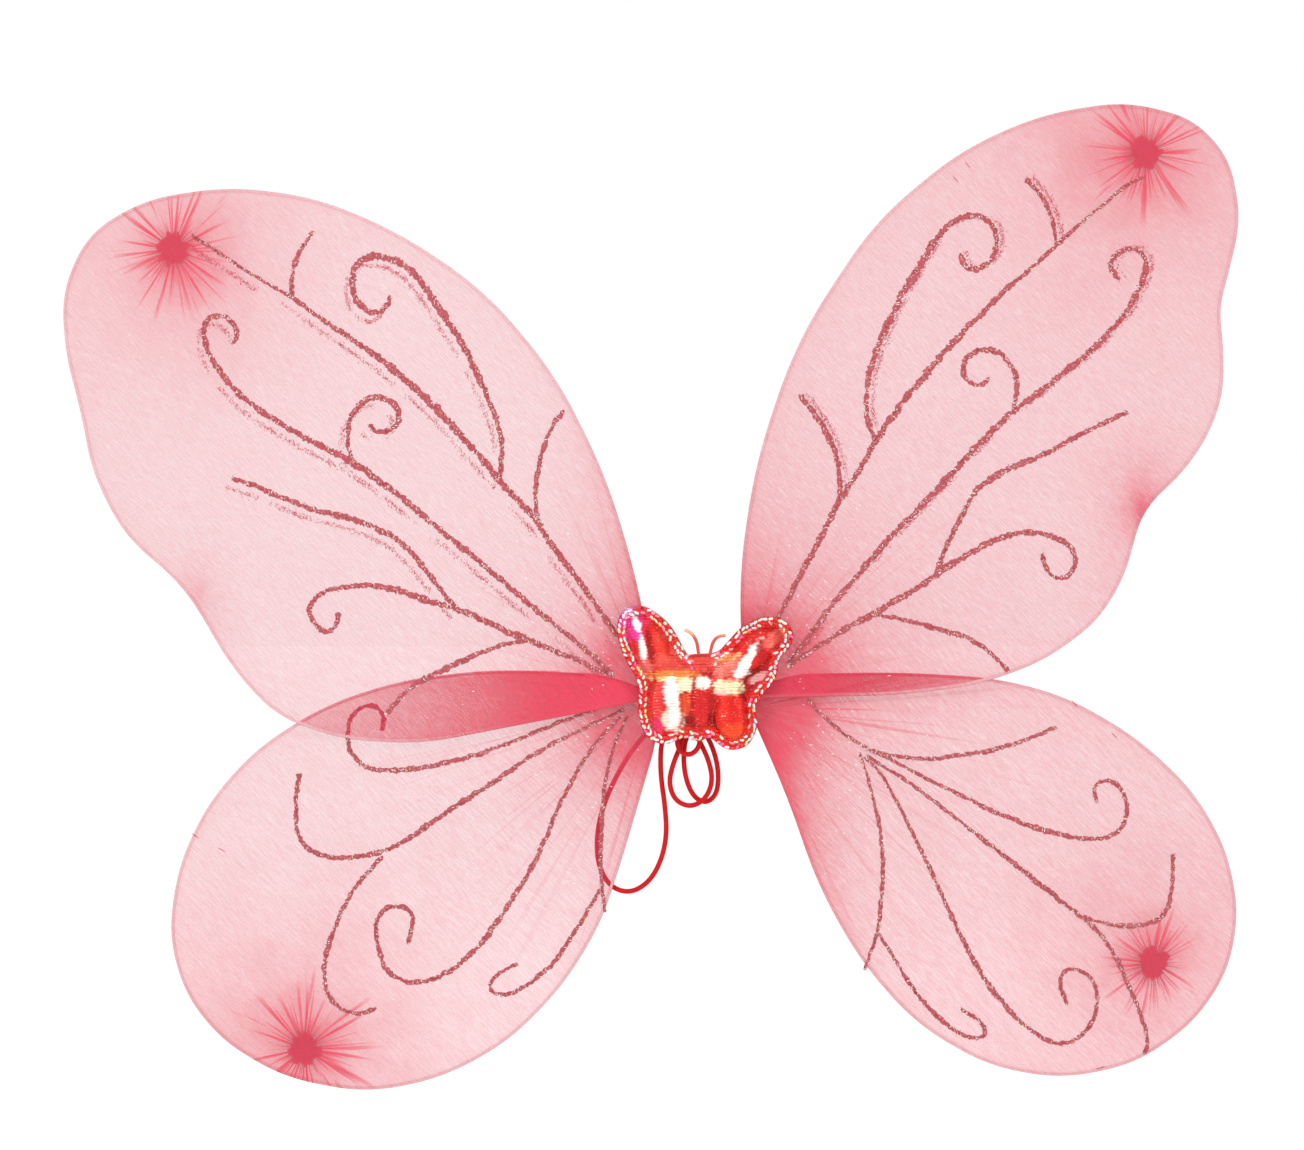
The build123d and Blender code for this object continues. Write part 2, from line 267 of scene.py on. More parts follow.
class Graph:
    """Short calls for building a material's nodes."""

    def __init__(self, name):
        self.material = bpy.data.materials.new(name)
        self.material.use_nodes = True
        self.nodes = self.material.node_tree.nodes
        self.links = self.material.node_tree.links
        self.shader = self.nodes["Principled BSDF"]

    def put(self, socket, value):
        if isinstance(value, bpy.types.NodeSocket):
            self.links.new(value, socket)
        else:
            socket.default_value = value

    def set(self, **values):
        for name, value in values.items():
            self.put(self.shader.inputs[name.replace("_", " ")], value)
        return self.material

    def math(self, operation, a, b=0.0, clamp=False):
        node = self.nodes.new("ShaderNodeMath")
        node.operation = operation
        node.use_clamp = clamp
        self.put(node.inputs[0], a)
        self.put(node.inputs[1], b)
        return node.outputs[0]

    def product(self, *factors):
        result = factors[0]
        for factor in factors[1:]:
            result = self.math("MULTIPLY", result, factor)
        return result

    def sum(self, *terms):
        result = terms[0]
        for term in terms[1:]:
            result = self.math("ADD", result, term)
        return result

    def fading(self, distance, reach):
        """1 at no distance, and a factor e less for every reach in millimetres."""
        return self.math("POWER", EULER, self.math("MULTIPLY", distance, -1 / (reach * MM)))

    def attribute(self, name, output="Fac"):
        node = self.nodes.new("ShaderNodeAttribute")
        node.attribute_name = name
        return node.outputs[output]

    def place(self):
        return self.nodes.new("ShaderNodeTexCoord").outputs["Object"]

    def combed(self, vector):
        """Coordinates stretched along the stocking's threads."""
        node = self.nodes.new("ShaderNodeMapping")
        self.put(node.inputs["Vector"], vector)
        turned = self.nodes.new("ShaderNodeMapping")
        node.inputs["Rotation"].default_value = (0, math.radians(-45), 0)
        self.put(turned.inputs["Vector"], node.outputs[0])
        turned.inputs["Scale"].default_value = (150, 300, 1500)
        return turned.outputs[0]

    def scaled(self, vector, factor):
        node = self.nodes.new("ShaderNodeVectorMath")
        node.operation = "SCALE"
        self.put(node.inputs[0], vector)
        self.put(node.inputs["Scale"], factor)
        return node.outputs[0]

    def vector(self, operation, a, b=None, output=0):
        node = self.nodes.new("ShaderNodeVectorMath")
        node.operation = operation
        self.put(node.inputs[0], a)
        if b is not None:
            self.put(node.inputs[1], b)
        return node.outputs[output]

    def noise(self, vector, scale, detail=2.0, roughness=0.5, distortion=0.0):
        node = self.nodes.new("ShaderNodeTexNoise")
        self.put(node.inputs["Vector"], vector)
        self.put(node.inputs["Scale"], scale)
        self.put(node.inputs["Detail"], detail)
        self.put(node.inputs["Roughness"], roughness)
        self.put(node.inputs["Distortion"], distortion)
        return node.outputs["Fac"]

    def wave(self, vector, scale, distortion=0.0, detail=1.0, direction="DIAGONAL"):
        node = self.nodes.new("ShaderNodeTexWave")
        node.bands_direction = direction
        self.put(node.inputs["Vector"], vector)
        self.put(node.inputs["Scale"], scale)
        self.put(node.inputs["Distortion"], distortion)
        self.put(node.inputs["Detail"], detail)
        return node.outputs["Fac"]

    def remap(self, value, low, high, to_low=0.0, to_high=1.0):
        node = self.nodes.new("ShaderNodeMapRange")
        node.interpolation_type = "SMOOTHSTEP"
        for socket, v in zip(("Value", "From Min", "From Max", "To Min", "To Max"),
                             (value, low, high, to_low, to_high)):
            self.put(node.inputs[socket], v)
        return node.outputs[0]

    def mix(self, factor, a, b):
        node = self.nodes.new("ShaderNodeMix")
        node.data_type = "RGBA"
        self.put(node.inputs["Factor"], factor)
        self.put(node.inputs["A"], a if isinstance(a, bpy.types.NodeSocket) else (*a, 1))
        self.put(node.inputs["B"], b if isinstance(b, bpy.types.NodeSocket) else (*b, 1))
        return node.outputs["Result"]

    def bump(self, height, strength, distance):
        node = self.nodes.new("ShaderNodeBump")
        self.put(node.inputs["Height"], height)
        self.put(node.inputs["Strength"], strength)
        self.put(node.inputs["Distance"], distance)
        self.links.new(node.outputs[0], self.shader.inputs["Normal"])


def nylon_material(name, streaks, rays, glow, lean, seed):
    """Sheer nylon: how thick the weave is at a point decides how much it hides.

    streaks: strength and reach of the folds that run into the root
    rays:    strength and longest reach of the folds that run into the knot
    glow:    strength and reach of the bunched nylon round the knot, which leans to one side
    """
    g = Graph(name)
    place = g.place()
    weave = g.sum(g.product(g.math("SUBTRACT", g.noise(g.combed(place), 1.0, 2.0, 0.7), 0.5), 1.5),
                  g.product(g.math("SUBTRACT", g.noise(place, 800.0, 2.0, 0.7), 0.5), 0.6),
                  g.product(g.math("SUBTRACT", g.noise(place, 30.0, 3.0, 0.6), 0.5), 0.22),
                  1.0)
    density = g.product(g.attribute("thickness"), weave)

    root = g.attribute("root", "Vector")
    turn = g.vector("ADD", g.vector("NORMALIZE", root), seed)
    fan = g.noise(g.vector("ADD", turn, g.scaled(root, 0.22)), 22.0, 3.0, 0.65)
    reach = g.vector("LENGTH", root, output="Value")
    folds = g.product(g.remap(fan, 0.54, 0.70), g.fading(reach, streaks[1]), streaks[0])
    density = g.sum(density, folds)

    knot = g.attribute("knot", "Vector")
    away = g.vector("LENGTH", knot, output="Value")
    heading = g.vector("NORMALIZE", knot)
    side = g.math("ADD", g.vector("DOT_PRODUCT", heading, lean, output="Value"), 1.0)
    aim = g.vector("ADD", heading, seed)
    spokes = g.remap(g.noise(g.vector("ADD", aim, g.scaled(knot, 1.5)), 12.5, 1.5, 0.6), 0.47, 0.62)
    longest = g.remap(g.noise(aim, 8.0, 1.0), 0.32, 0.68, rays[1] * 0.35 * MM, rays[1] * MM)
    taper = g.math("SUBTRACT", 1.0, g.math("DIVIDE", away, longest), clamp=True)
    star = g.product(spokes, g.math("POWER", taper, 1.25), rays[0])
    core_edge = g.remap(g.noise(aim, 2.2, 2.0), 0.3, 0.7, 3.4 * MM, 7.4 * MM)
    core = g.remap(away, core_edge, g.math("ADD", core_edge, 2.6 * MM), 5.0, 0.0)
    patchy = g.remap(g.noise(place, 45.0, 2.0), 0.3, 0.7, 0.78, 1.22)
    bunched = g.sum(g.product(g.fading(away, glow[1]), glow[0]), g.product(g.fading(away, 8), 0.55))
    density = g.sum(density, star, core, g.product(bunched, side, patchy))

    alpha = g.math("SUBTRACT", 1.0, g.math("POWER", EULER, g.product(density, -1.0)), clamp=True)
    g.bump(fan, 0.25, 0.002)
    colour = g.mix(g.math("POWER", alpha, 2.0), (0.70, 0.058, 0.108), (0.86, 0.072, 0.124))
    colour = g.mix(g.remap(away, 5 * MM, 14 * MM, 1.0, 0.0), colour, (0.60, 0.058, 0.095))
    g.set(Base_Color=colour, Roughness=0.7, Alpha=alpha)
    g.shader.inputs["Specular IOR Level"].default_value = 0.15
    return g.material


def plain(name, colour, roughness=0.6, metallic=0.0, grain=0.0, scale=600.0):
    g = Graph(name)
    g.set(Base_Color=(*colour, 1), Roughness=roughness, Metallic=metallic)
    if grain:
        g.bump(g.noise(g.place(), scale, 3.0, 0.6), grain, 0.0006)
    return g.material


def tinted(name, roughness, metallic):
    """Each flake or stitch carries its own colour."""
    g = Graph(name)
    g.set(Base_Color=g.attribute("tint", "Color"), Roughness=roughness, Metallic=metallic)
    return g.material


def elastic_material():
    g = Graph("elastic")
    lay = g.attribute("lay", "Vector")
    rib = g.wave(lay, 1.0, 0.0, 0.0)
    g.bump(rib, 0.5, 0.0003)
    colour = g.mix(g.noise(g.place(), 260.0, 2.0), (0.56, 0.004, 0.008), (0.70, 0.010, 0.014))
    g.shader.inputs["Specular IOR Level"].default_value = 0.18
    return g.set(Base_Color=colour, Roughness=0.55)


# ---------------------------------------------------------------- elastic arm loops

LEFT_ROUTE = [
    (-17.4, -3.6, -12.2), (-22.5, -2.9, -14.8), (-29.5, -2.8, -21), (-37, -2.8, -31),
    (-44.3, -2.8, -44), (-49.8, -2.8, -57.5), (-52.4, -2.8, -72), (-51.4, -2.8, -85.5),
    (-45.5, -2.8, -96), (-35.5, -2.8, -99.2), (-25.8, -2.8, -93.5), (-19.7, -2.8, -82.5),
    (-17, -2.8, -69.5), (-18, -2.8, -55), (-20.2, -2.8, -40), (-20.2, -2.8, -26),
    (-18, -3.2, -18), (-15.6, -3.8, -12.9),
]
RIGHT_ROUTE = [
    (-3.4, -7.6, -11.9), (-8.8, -9.4, -13.4), (-12.4, -9.6, -19.5), (-11.2, -9.6, -27.5),
    (-5.8, -9.6, -29.8), (-1, -9.6, -26), (-0.4, -9.4, -19.5), (-3.4, -8, -15.5),
    (-8.2, -6.4, -17.5), (-10.2, -6.2, -25), (-14, -6.2, -34), (-16.2, -6.2, -43.5),
    (-13, -6.2, -52.5), (-5, -6.2, -55.8), (2.5, -6.2, -51.5), (6, -6.2, -42.5),
    (4, -6.2, -32.5), (0, -6, -24), (-3, -4, -18), (-7.6, -3, -20.5), (-8.8, -3, -30.5),
    (-7.8, -3, -41), (-4, -3, -50.5), (2.5, -3, -54.2), (8, -3, -49.5), (9, -3, -40),
    (7.4, -3, -30), (3.4, -3.6, -20.5), (-0.8, -5.2, -12.6),
]
ELASTIC_RADIUS = 1.25


def route_line(name, route):
    """Points in millimetres along the smooth spline of a cord's route."""
    data = bpy.data.curves.new(name + "_route", "CURVE")
    data.dimensions = "3D"
    data.resolution_u = 10
    spline = data.splines.new("NURBS")
    spline.points.add(len(route) - 1)
    for point, place in zip(spline.points, route):
        point.co = (place[0] * MM, place[1] * MM, place[2] * MM, 1)
    spline.order_u = 3
    spline.use_endpoint_u = True
    holder = bpy.data.objects.new(name + "_route", data)
    line = bpy.data.meshes.new_from_object(holder)
    points = np.array([v.co for v in line.vertices]) / MM
    bpy.data.objects.remove(holder)
    bpy.data.meshes.remove(line)
    return points


def add_elastic(name, route, body, node, material):
    points = route_line(name, route)
    verts, faces, along, around = tube(points, ELASTIC_RADIUS, 18)
    piece = add_mesh(name, verts, faces, body, material)
    turns = around / (2 * math.pi)
    lay = np.stack([along * 1.1, turns * 0.0, turns * 7.5], 1)
    add_attribute(piece, "lay", "FLOAT_VECTOR", lay)
    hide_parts(node)


def add_knot(name, centre, body, node, material):
    """The elastic's overhand knot."""
    t = np.linspace(0, 2 * math.pi, 72, endpoint=False)
    path = np.stack([np.sin(t) + 2 * np.sin(2 * t), -1.2 * np.sin(3 * t), np.cos(t) - 2 * np.cos(2 * t)], 1)
    verts, faces, along, around = tube(np.array(centre) + path * 0.52, 0.85, 12, closed=True)
    piece = add_mesh(name, verts, faces, body, material)
    add_attribute(piece, "lay", "FLOAT_VECTOR", np.stack([along * 1.1, around * 0, around], 1))
    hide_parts(node)


elastic = elastic_material()
add_elastic("left_arm_loop", LEFT_ROUTE, "left_root", "left_strap", elastic)
add_elastic("right_arm_loop", RIGHT_ROUTE, "centre", "right_strap", elastic)
add_knot("left_arm_loop_knot", (-15.8, -3.8, -11.3), "left_root", "left_strap_knot", elastic)
add_knot("right_arm_loop_knot", (-2, -6.2, -11.3), "centre", "right_strap_knot", elastic)


# ---------------------------------------------------------------- nylon over the wire loops

PLATE_TO_WIRE = 1.0             # from the CAD plate's edge to the middle of the wire
NYLON_RADIUS = 0.95             # the stocking's bend round the wire
MID_GAP = 0.3                   # half the distance between the layers, away from the wire
RIM_STEP = 2.2
MESH_STEP = 2.5
ROOT_PLEAT = 0.26
KNOT_PLEAT = 0.22
OVERLAP_MOST = 1.15
OVERLAP_START = 70
OVERLAP_FADE = 42
GATHER_REACH = 42
GATHER_MOST = 1.7
# The extra density at the wire's inner edge paints a thin line of shade where the front layer leaves the
# wire.
RIM_ROWS = ((0.75, 0.05), (1.5, 0.01), (2.8, 0.0))   # inset from the wire, extra density
KNOT_RINGS = (1.5, 3, 4.5, 6, 8, 10.5, 13, 16, 19.5)
ROOT_RINGS = (8, 11, 14, 17, 20, 24, 28, 32, 37, 42)


class Wing:
    """One wire loop and how its stocking lies on it; lengths are in millimetres."""

    def __init__(self, name, plane, root, knot, base, gathered, hem, notch, **folds):
        self.name = name
        self.plane = plane
        self.root = np.array(root, float)
        self.knot = np.array(knot, float)
        self.base = base
        self.gathered = gathered
        self.hem = hem
        self.notch = notch
        self.body = name + "_wing"
        ring = spaced(plate_outline(name + "_nylon"), RIM_STEP, closed=True)
        for _ in range(2):
            ring = ring * 0.5 + (np.roll(ring, 1, 0) + np.roll(ring, -1, 0)) * 0.25
        self.wire = ring + outward(ring) * PLATE_TO_WIRE
        self.material = nylon_material(name + "_nylon", **folds)

    def gap(self, points, phase):
        """Half the distance between the two layers, with the pleats that run into root and knot."""
        d = edge_distance(points, self.wire)
        lift = MID_GAP + (NYLON_RADIUS - MID_GAP) * np.exp(-d / 4)
        to_root = points - self.root
        r = np.linalg.norm(to_root, axis=1)
        turn = np.arctan2(to_root[:, 1], to_root[:, 0])
        pleat = np.sin(turn * 38 + phase) + 0.6 * np.sin(turn * 61 + 2.3 * phase)
        inner = np.clip(d / 6, 0, 1)
        lift = lift + ROOT_PLEAT * (pleat + 1.2) * np.exp(-r / 55) * inner
        to_knot = points - self.knot
        k = np.linalg.norm(to_knot, axis=1)
        turn = np.arctan2(to_knot[:, 1], to_knot[:, 0])
        pleat = np.sin(turn * 17 + phase) + 0.5 * np.sin(turn * 29 + phase)
        lift = lift + KNOT_PLEAT * (pleat + 1.2) * np.exp(-((k - 9) / 10) ** 2) * inner
        return lift - (lift - 0.12) * np.exp(-((k / 3.5) ** 2))

    def front(self, points):
        return self.plane - self.gap(np.asarray(points, float), 0.4)

    def density(self, points, edge):
        """How much one layer hides, before the streaks."""
        r = np.linalg.norm(points - self.root, axis=1)
        d = edge_distance(points, self.wire)
        gathered = self.gathered * (GATHER_REACH / np.maximum(r, 12)) ** 2.5
        value = self.base + np.minimum(gathered, GATHER_MOST)
        value = value + 0.06 * np.exp(-d / 12) + self.hem * np.exp(-d / 10) * np.exp(-((r / 85) ** 2))
        if self.notch:
            x, z, strength = self.notch
            away = np.linalg.norm((points - (x, z)) / (1, 1.6), axis=1)
            value = value + strength * (1.1 * np.exp(-away / 4) + 0.6 * np.exp(-away / 13))
        return 0.5 * value + edge


def overlap_density(amount, behind, points):
    """Where an upper wing lies in front of the lower one it looks thicker still."""
    past = np.maximum(np.abs(points[:, 0]) - OVERLAP_START, 0)
    extra = OVERLAP_MOST * np.exp(-past / OVERLAP_FADE)
    return np.where(inside(points, behind.wire), extra * amount, 0.0)


def add_nylon(wing, behind=None, amount=0.0):
    """The stocking's two layers, joined round the wire; it looks thicker in front of another wing."""
    ring = wing.wire
    normal = outward(ring)
    count = len(ring)
    verts, density = [], []

    def add_ring(flat, y, edge):
        verts.append(upright(flat, y))
        density.append(wing.density(flat, edge))

    for phi in np.radians(np.linspace(-90, 90, 9)):
        flat = ring + normal * NYLON_RADIUS * math.cos(phi)
        add_ring(flat, wing.plane + NYLON_RADIUS * math.sin(phi), 0.02 * math.cos(phi) ** 3)
    rim = len(verts)
    inner = []
    for inset, edge in RIM_ROWS:
        flat = ring - normal * inset
        inner.append(flat)
        add_ring(flat, wing.front(flat), edge)
    extra = hex_points(inner[-1], MESH_STEP, 1.6)
    to_knot = np.linalg.norm(extra - wing.knot, axis=1)
    to_root = np.linalg.norm(extra - wing.root, axis=1)
    extra = extra[(to_knot > 22) & (to_root > 45)]
    close = []
    for centre, radii, sides in ((wing.knot, KNOT_RINGS, 72), (wing.root, ROOT_RINGS, 150)):
        for radius in radii:
            a = np.arange(sides) * 2 * math.pi / sides + radius
            close.append(centre + radius * np.stack([np.cos(a), np.sin(a)], 1))
    close = np.vstack(close)
    close = close[inside(close, inner[-1])]
    close = close[edge_distance(close, inner[-1]) > 1.2]
    extra = np.vstack([extra, close])
    add_ring(extra, wing.front(extra), 0.0)
    front_count = sum(len(v) for v in verts)
    for inset, edge in RIM_ROWS:
        flat = ring - normal * inset
        add_ring(flat, wing.plane + wing.gap(flat, 1.9), edge)
    add_ring(extra, wing.plane + wing.gap(extra, 1.9), 0.0)

    faces = []

    def join(a, b):
        for i in range(count):
            n = (i + 1) % count
            faces.append((a + i, b + i, b + n, a + n))

    for k in range(rim - 1):
        join(k * count, (k + 1) * count)
    join(rim * count, 0)
    join((rim + 1) * count, rim * count)
    join((rim + 2) * count, (rim + 1) * count)
    join((rim - 1) * count, front_count)
    join(front_count, front_count + count)
    join(front_count + count, front_count + 2 * count)
    front_ring, back_ring = (rim + 2) * count, front_count + 2 * count
    for a, b, c in filled(inner[-1], extra):
        faces.append((front_ring + a, front_ring + b, front_ring + c))
        faces.append((back_ring + c, back_ring + b, back_ring + a))
    verts = np.vstack(verts)
    density = np.concatenate(density)
    flat = verts[:, [0, 2]]
    if behind:
        density = density + overlap_density(amount, behind, flat)
    piece = add_mesh(wing.name + "_stocking", verts, faces, wing.body, wing.material)
    add_attribute(piece, "thickness", "FLOAT", density)
    for name, centre in (("root", wing.root), ("knot", wing.knot)):
        add_attribute(piece, name, "FLOAT_VECTOR", upright((flat - centre) * MM, 0.0))
    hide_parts(wing.name + "_nylon")


WINGS = {
    "upper_left": Wing(
        "upper_left", -10.5, (-24, 2), (-263.5, 223), base=0.40, gathered=0.60, hem=0.9,
        notch=(-251, 51, 0.3), streaks=(0.7, 40), rays=(2.2, 40), glow=(0.46, 29),
        lean=(0.2, 0, -0.35), seed=(0, 0, 0)),
    "upper_right": Wing(
        "upper_right", -10.5, (24, 4), (222, 271), base=0.49, gathered=1.15, hem=0.3,
        notch=(220, 94, 1.0), streaks=(0.7, 40), rays=(2.2, 38), glow=(0.50, 33),
        lean=(-0.3, 0, -0.15), seed=(3.1, 0, 7.4)),
    "lower_left": Wing(
        "lower_left", -5.5, (-24, -3), (-198.5, -176.5), base=0.41, gathered=0.72, hem=0.3,
        notch=None, streaks=(0.9, 45), rays=(2.2, 44), glow=(0.56, 34),
        lean=(-0.05, 0, 0.1), seed=(11.7, 0, 2.2)),
    "lower_right": Wing(
        "lower_right", -5.5, (26, -6), (226.5, -134), base=0.53, gathered=0.58, hem=1.5,
        notch=None, streaks=(1.6, 42), rays=(2.0, 32), glow=(0.38, 29),
        lean=(-0.2, 0, 0.15), seed=(5.3, 0, 13.9)),
}
add_nylon(WINGS["upper_left"], WINGS["lower_left"], 0.95)
add_nylon(WINGS["upper_right"], WINGS["lower_right"], 0.08)
add_nylon(WINGS["lower_left"])
add_nylon(WINGS["lower_right"])


# ---------------------------------------------------------------- glitter glue veins

# Each line of glue: its widths at the start, middle and end, and its points (x, z).
UPPER_LEFT_VEINS = [
    ((1.6, 3.4, 2.2), [(-254, 230), (-240, 221), (-220, 207.6), (-204, 199.4), (-192, 190), (-178, 180.4),
     (-162, 170), (-148, 158), (-132, 144), (-120, 130), (-108, 117), (-100, 107), (-90, 96), (-81, 87),
     (-77, 79), (-68, 67), (-58, 54), (-50, 42), (-42, 30)]),
    ((2.2, 2.4, 2.8), [(-204, 199), (-204.4, 206), (-203, 215), (-199, 224), (-193.6, 232)]),
    ((2.4, 3.4, 2.6), [(-100.6, 108), (-99.4, 120), (-100, 132), (-105, 146), (-111, 160), (-118, 174),
     (-126, 186), (-134, 199), (-142, 210), (-150, 216.4), (-160, 220), (-168, 219), (-173.4, 214),
     (-174.4, 206), (-172, 197), (-167, 192), (-161, 191), (-156, 195), (-155.4, 200)]),
    ((2.0, 2.4, 2.8), [(-81, 87), (-82.4, 94), (-82.6, 104), (-81, 116), (-78, 126), (-73, 137),
     (-68.4, 142.4)]),
    ((2.6, 3.0, 2.0), [(-234, 175.6), (-231.2, 179), (-232, 184.4), (-236, 189), (-242, 190.6),
     (-247.4, 187.6), (-248.6, 181), (-246, 172), (-240, 162), (-230, 150), (-218, 141), (-206, 133.6),
     (-192, 126), (-182, 121), (-172, 115.6), (-160, 107), (-148, 98), (-136, 87.6), (-120, 75),
     (-108, 65), (-94, 53), (-80, 41), (-66, 30), (-54, 20), (-44, 11)]),
    ((2.2, 2.8, 2.4), [(-172, 115.6), (-175, 120), (-176.6, 128), (-176, 137), (-172, 144), (-167, 148.6),
     (-160, 149.6), (-153, 146), (-150.4, 140), (-152.4, 134), (-158, 131.6), (-163, 132.4),
     (-166, 135.6)]),
    ((2.4, 2.8, 2.2), [(-234, 108.6), (-224, 105.6), (-212, 100.4), (-200, 95.6), (-190, 92), (-176, 89),
     (-164, 85), (-154, 80), (-146, 73), (-138, 64), (-130, 53), (-122, 43.4)]),
    ((2.4, 3.0, 1.8), [(-181, 42), (-182, 35), (-186, 31.4), (-191, 34), (-195.6, 40), (-195, 46),
     (-190, 51), (-182, 54), (-168, 55.6), (-154, 53.6), (-140, 49), (-122, 43.4), (-108, 38), (-96, 32),
     (-86, 28), (-74, 23), (-64, 19), (-54, 14.4), (-44, 10)]),
    ((2.0, 2.6, 2.2), [(-86, 28), (-98, 26), (-110, 22), (-122, 16), (-136, 10), (-148, 2), (-157, -9)]),
]
UPPER_RIGHT_VEINS = [
    ((1.6, 3.2, 2.2), [(221, 259), (212, 255), (204, 248), (194, 240), (184, 231), (177, 225), (170, 218),
     (158, 208), (148, 199), (138, 189), (128, 179), (118, 168), (108, 156), (98, 143), (90, 132),
     (84, 122), (77, 109), (69, 98), (61, 82), (52, 65), (43, 48), (36, 34)]),
    ((2.0, 2.4, 2.6), [(177, 225), (176.6, 233), (174, 242), (169, 251), (162, 258.4)]),
    ((2.6, 3.2, 2.2), [(129.4, 221), (130.6, 215), (135, 212.4), (141, 214), (146, 220), (148, 228),
     (146, 235), (140, 239.4), (132, 239.6), (123, 235), (116, 227), (110, 216), (103, 205), (97, 194),
     (91, 181), (86, 169), (83, 156), (82, 144), (84, 134), (87, 127)]),
    ((2.6, 2.6, 2.0), [(49, 150.4), (55, 143), (62, 133), (67, 122), (69.2, 110), (69.4, 99)]),
    ((2.6, 3.0, 2.0), [(209, 208), (205, 211.4), (204, 216), (207, 221), (213, 223.6), (219, 222.4),
     (222, 218), (221.6, 211), (218, 202), (212, 191), (203, 181), (192, 170), (180, 161), (168, 151),
     (157, 143), (148, 135), (136, 123), (124, 110), (112, 97), (100, 85), (88, 72), (76, 58), (64, 44),
     (52, 27), (43, 16)]),
    ((2.4, 2.8, 2.2), [(144, 159), (140, 155), (135, 155.6), (131, 160), (131, 167), (136, 172),
     (143, 173.4), (150, 171), (155.6, 164), (158, 156), (157, 149), (155.6, 142)]),
    ((2.4, 2.8, 2.2), [(213, 142), (202, 137), (190, 131), (176, 123), (162, 117), (150, 112), (142, 107),
     (135, 100), (130, 90), (124, 78), (119, 67), (118, 61)]),
    ((2.4, 3.0, 1.8), [(170, 71), (171.6, 64), (176, 59), (182, 59), (186.6, 64), (187, 70), (183, 76),
     (176, 79.6), (166, 82), (154, 81), (142, 76), (130, 69), (118, 61), (106, 53), (94, 46), (85, 40.4),
     (74, 35), (62, 27), (50, 19), (43, 14)]),
    ((2.0, 2.4, 2.2), [(85, 40.4), (96, 39.6), (108, 36.4), (122, 32.4), (134, 29), (143, 23), (150, 16),
     (153.6, 12.6)]),
]
LOWER_LEFT_VEINS = [
    ((2.2, 2.2, 1.4), [(-160, -17.5), (-158.7, -11.7), (-160.8, -6.7), (-165.8, -4.5), (-171.7, -6.3),
     (-175.3, -10.8), (-176.7, -17.5), (-176.3, -25), (-173.3, -31.7), (-167.5, -35.8), (-158.3, -37.5),
     (-146.7, -37), (-135, -35.3), (-121.7, -32.5), (-110, -28.8), (-98.3, -24.7), (-86.7, -19.7),
     (-75, -14.7), (-61.7, -10), (-48, -5)]),
    ((2.2, 2.4, 1.4), [(-200.8, -38.3), (-202.5, -46.7), (-202.8, -58.3), (-202.5, -68.3), (-198.3, -75.8),
     (-190.8, -80), (-180, -81.3), (-170, -80), (-160, -78.3), (-150, -74.2), (-138.3, -65.8),
     (-125, -56.7), (-111.7, -48.3), (-98.3, -39.2), (-85, -30), (-71.7, -22.5), (-60, -17),
     (-48.3, -11.7), (-38.3, -6.7)]),
    ((2.0, 2.2, 1.8), [(-159.2, -80), (-166.7, -88.3), (-175, -98.3), (-180.8, -110), (-185, -120),
     (-188, -130), (-188.7, -140), (-187.5, -148.3), (-183.3, -155), (-176.7, -158.7), (-170, -159.2),
     (-162.5, -156.3)]),
    ((2.2, 2.4, 1.4), [(-146.7, -124.2), (-144.7, -117.5), (-143.8, -110.8), (-146.7, -106.3),
     (-152.5, -104.7), (-159.2, -107), (-163, -112.5), (-162.5, -121.7), (-160.3, -131.7),
     (-155.8, -139.2), (-148.3, -143), (-140, -143.8), (-130, -140.5), (-120, -134.2), (-110, -124.2),
     (-101.7, -112.5), (-93.3, -100), (-85, -86.7), (-78.3, -72.5), (-72.5, -58.3), (-65.8, -44.2),
     (-58.3, -31.7), (-50, -20), (-40, -10)]),
    ((1.2, 2.0, 1.6), [(-36.7, -10), (-43.3, -23.3), (-46.7, -36.7), (-49.2, -51.7), (-50, -66.7),
     (-50.3, -81.7), (-49.7, -93.3), (-48, -108.3)]),
    ((1.8, 2.2, 1.8), [(-50.3, -96.7), (-56.7, -107.5), (-63.3, -118.3), (-70, -129.2), (-78.3, -138.3),
     (-88.3, -145.8), (-96.7, -149.7), (-104.2, -149.2), (-105.8, -145), (-103.3, -140.8),
     (-97.5, -136.7), (-91.7, -134.2)]),
]
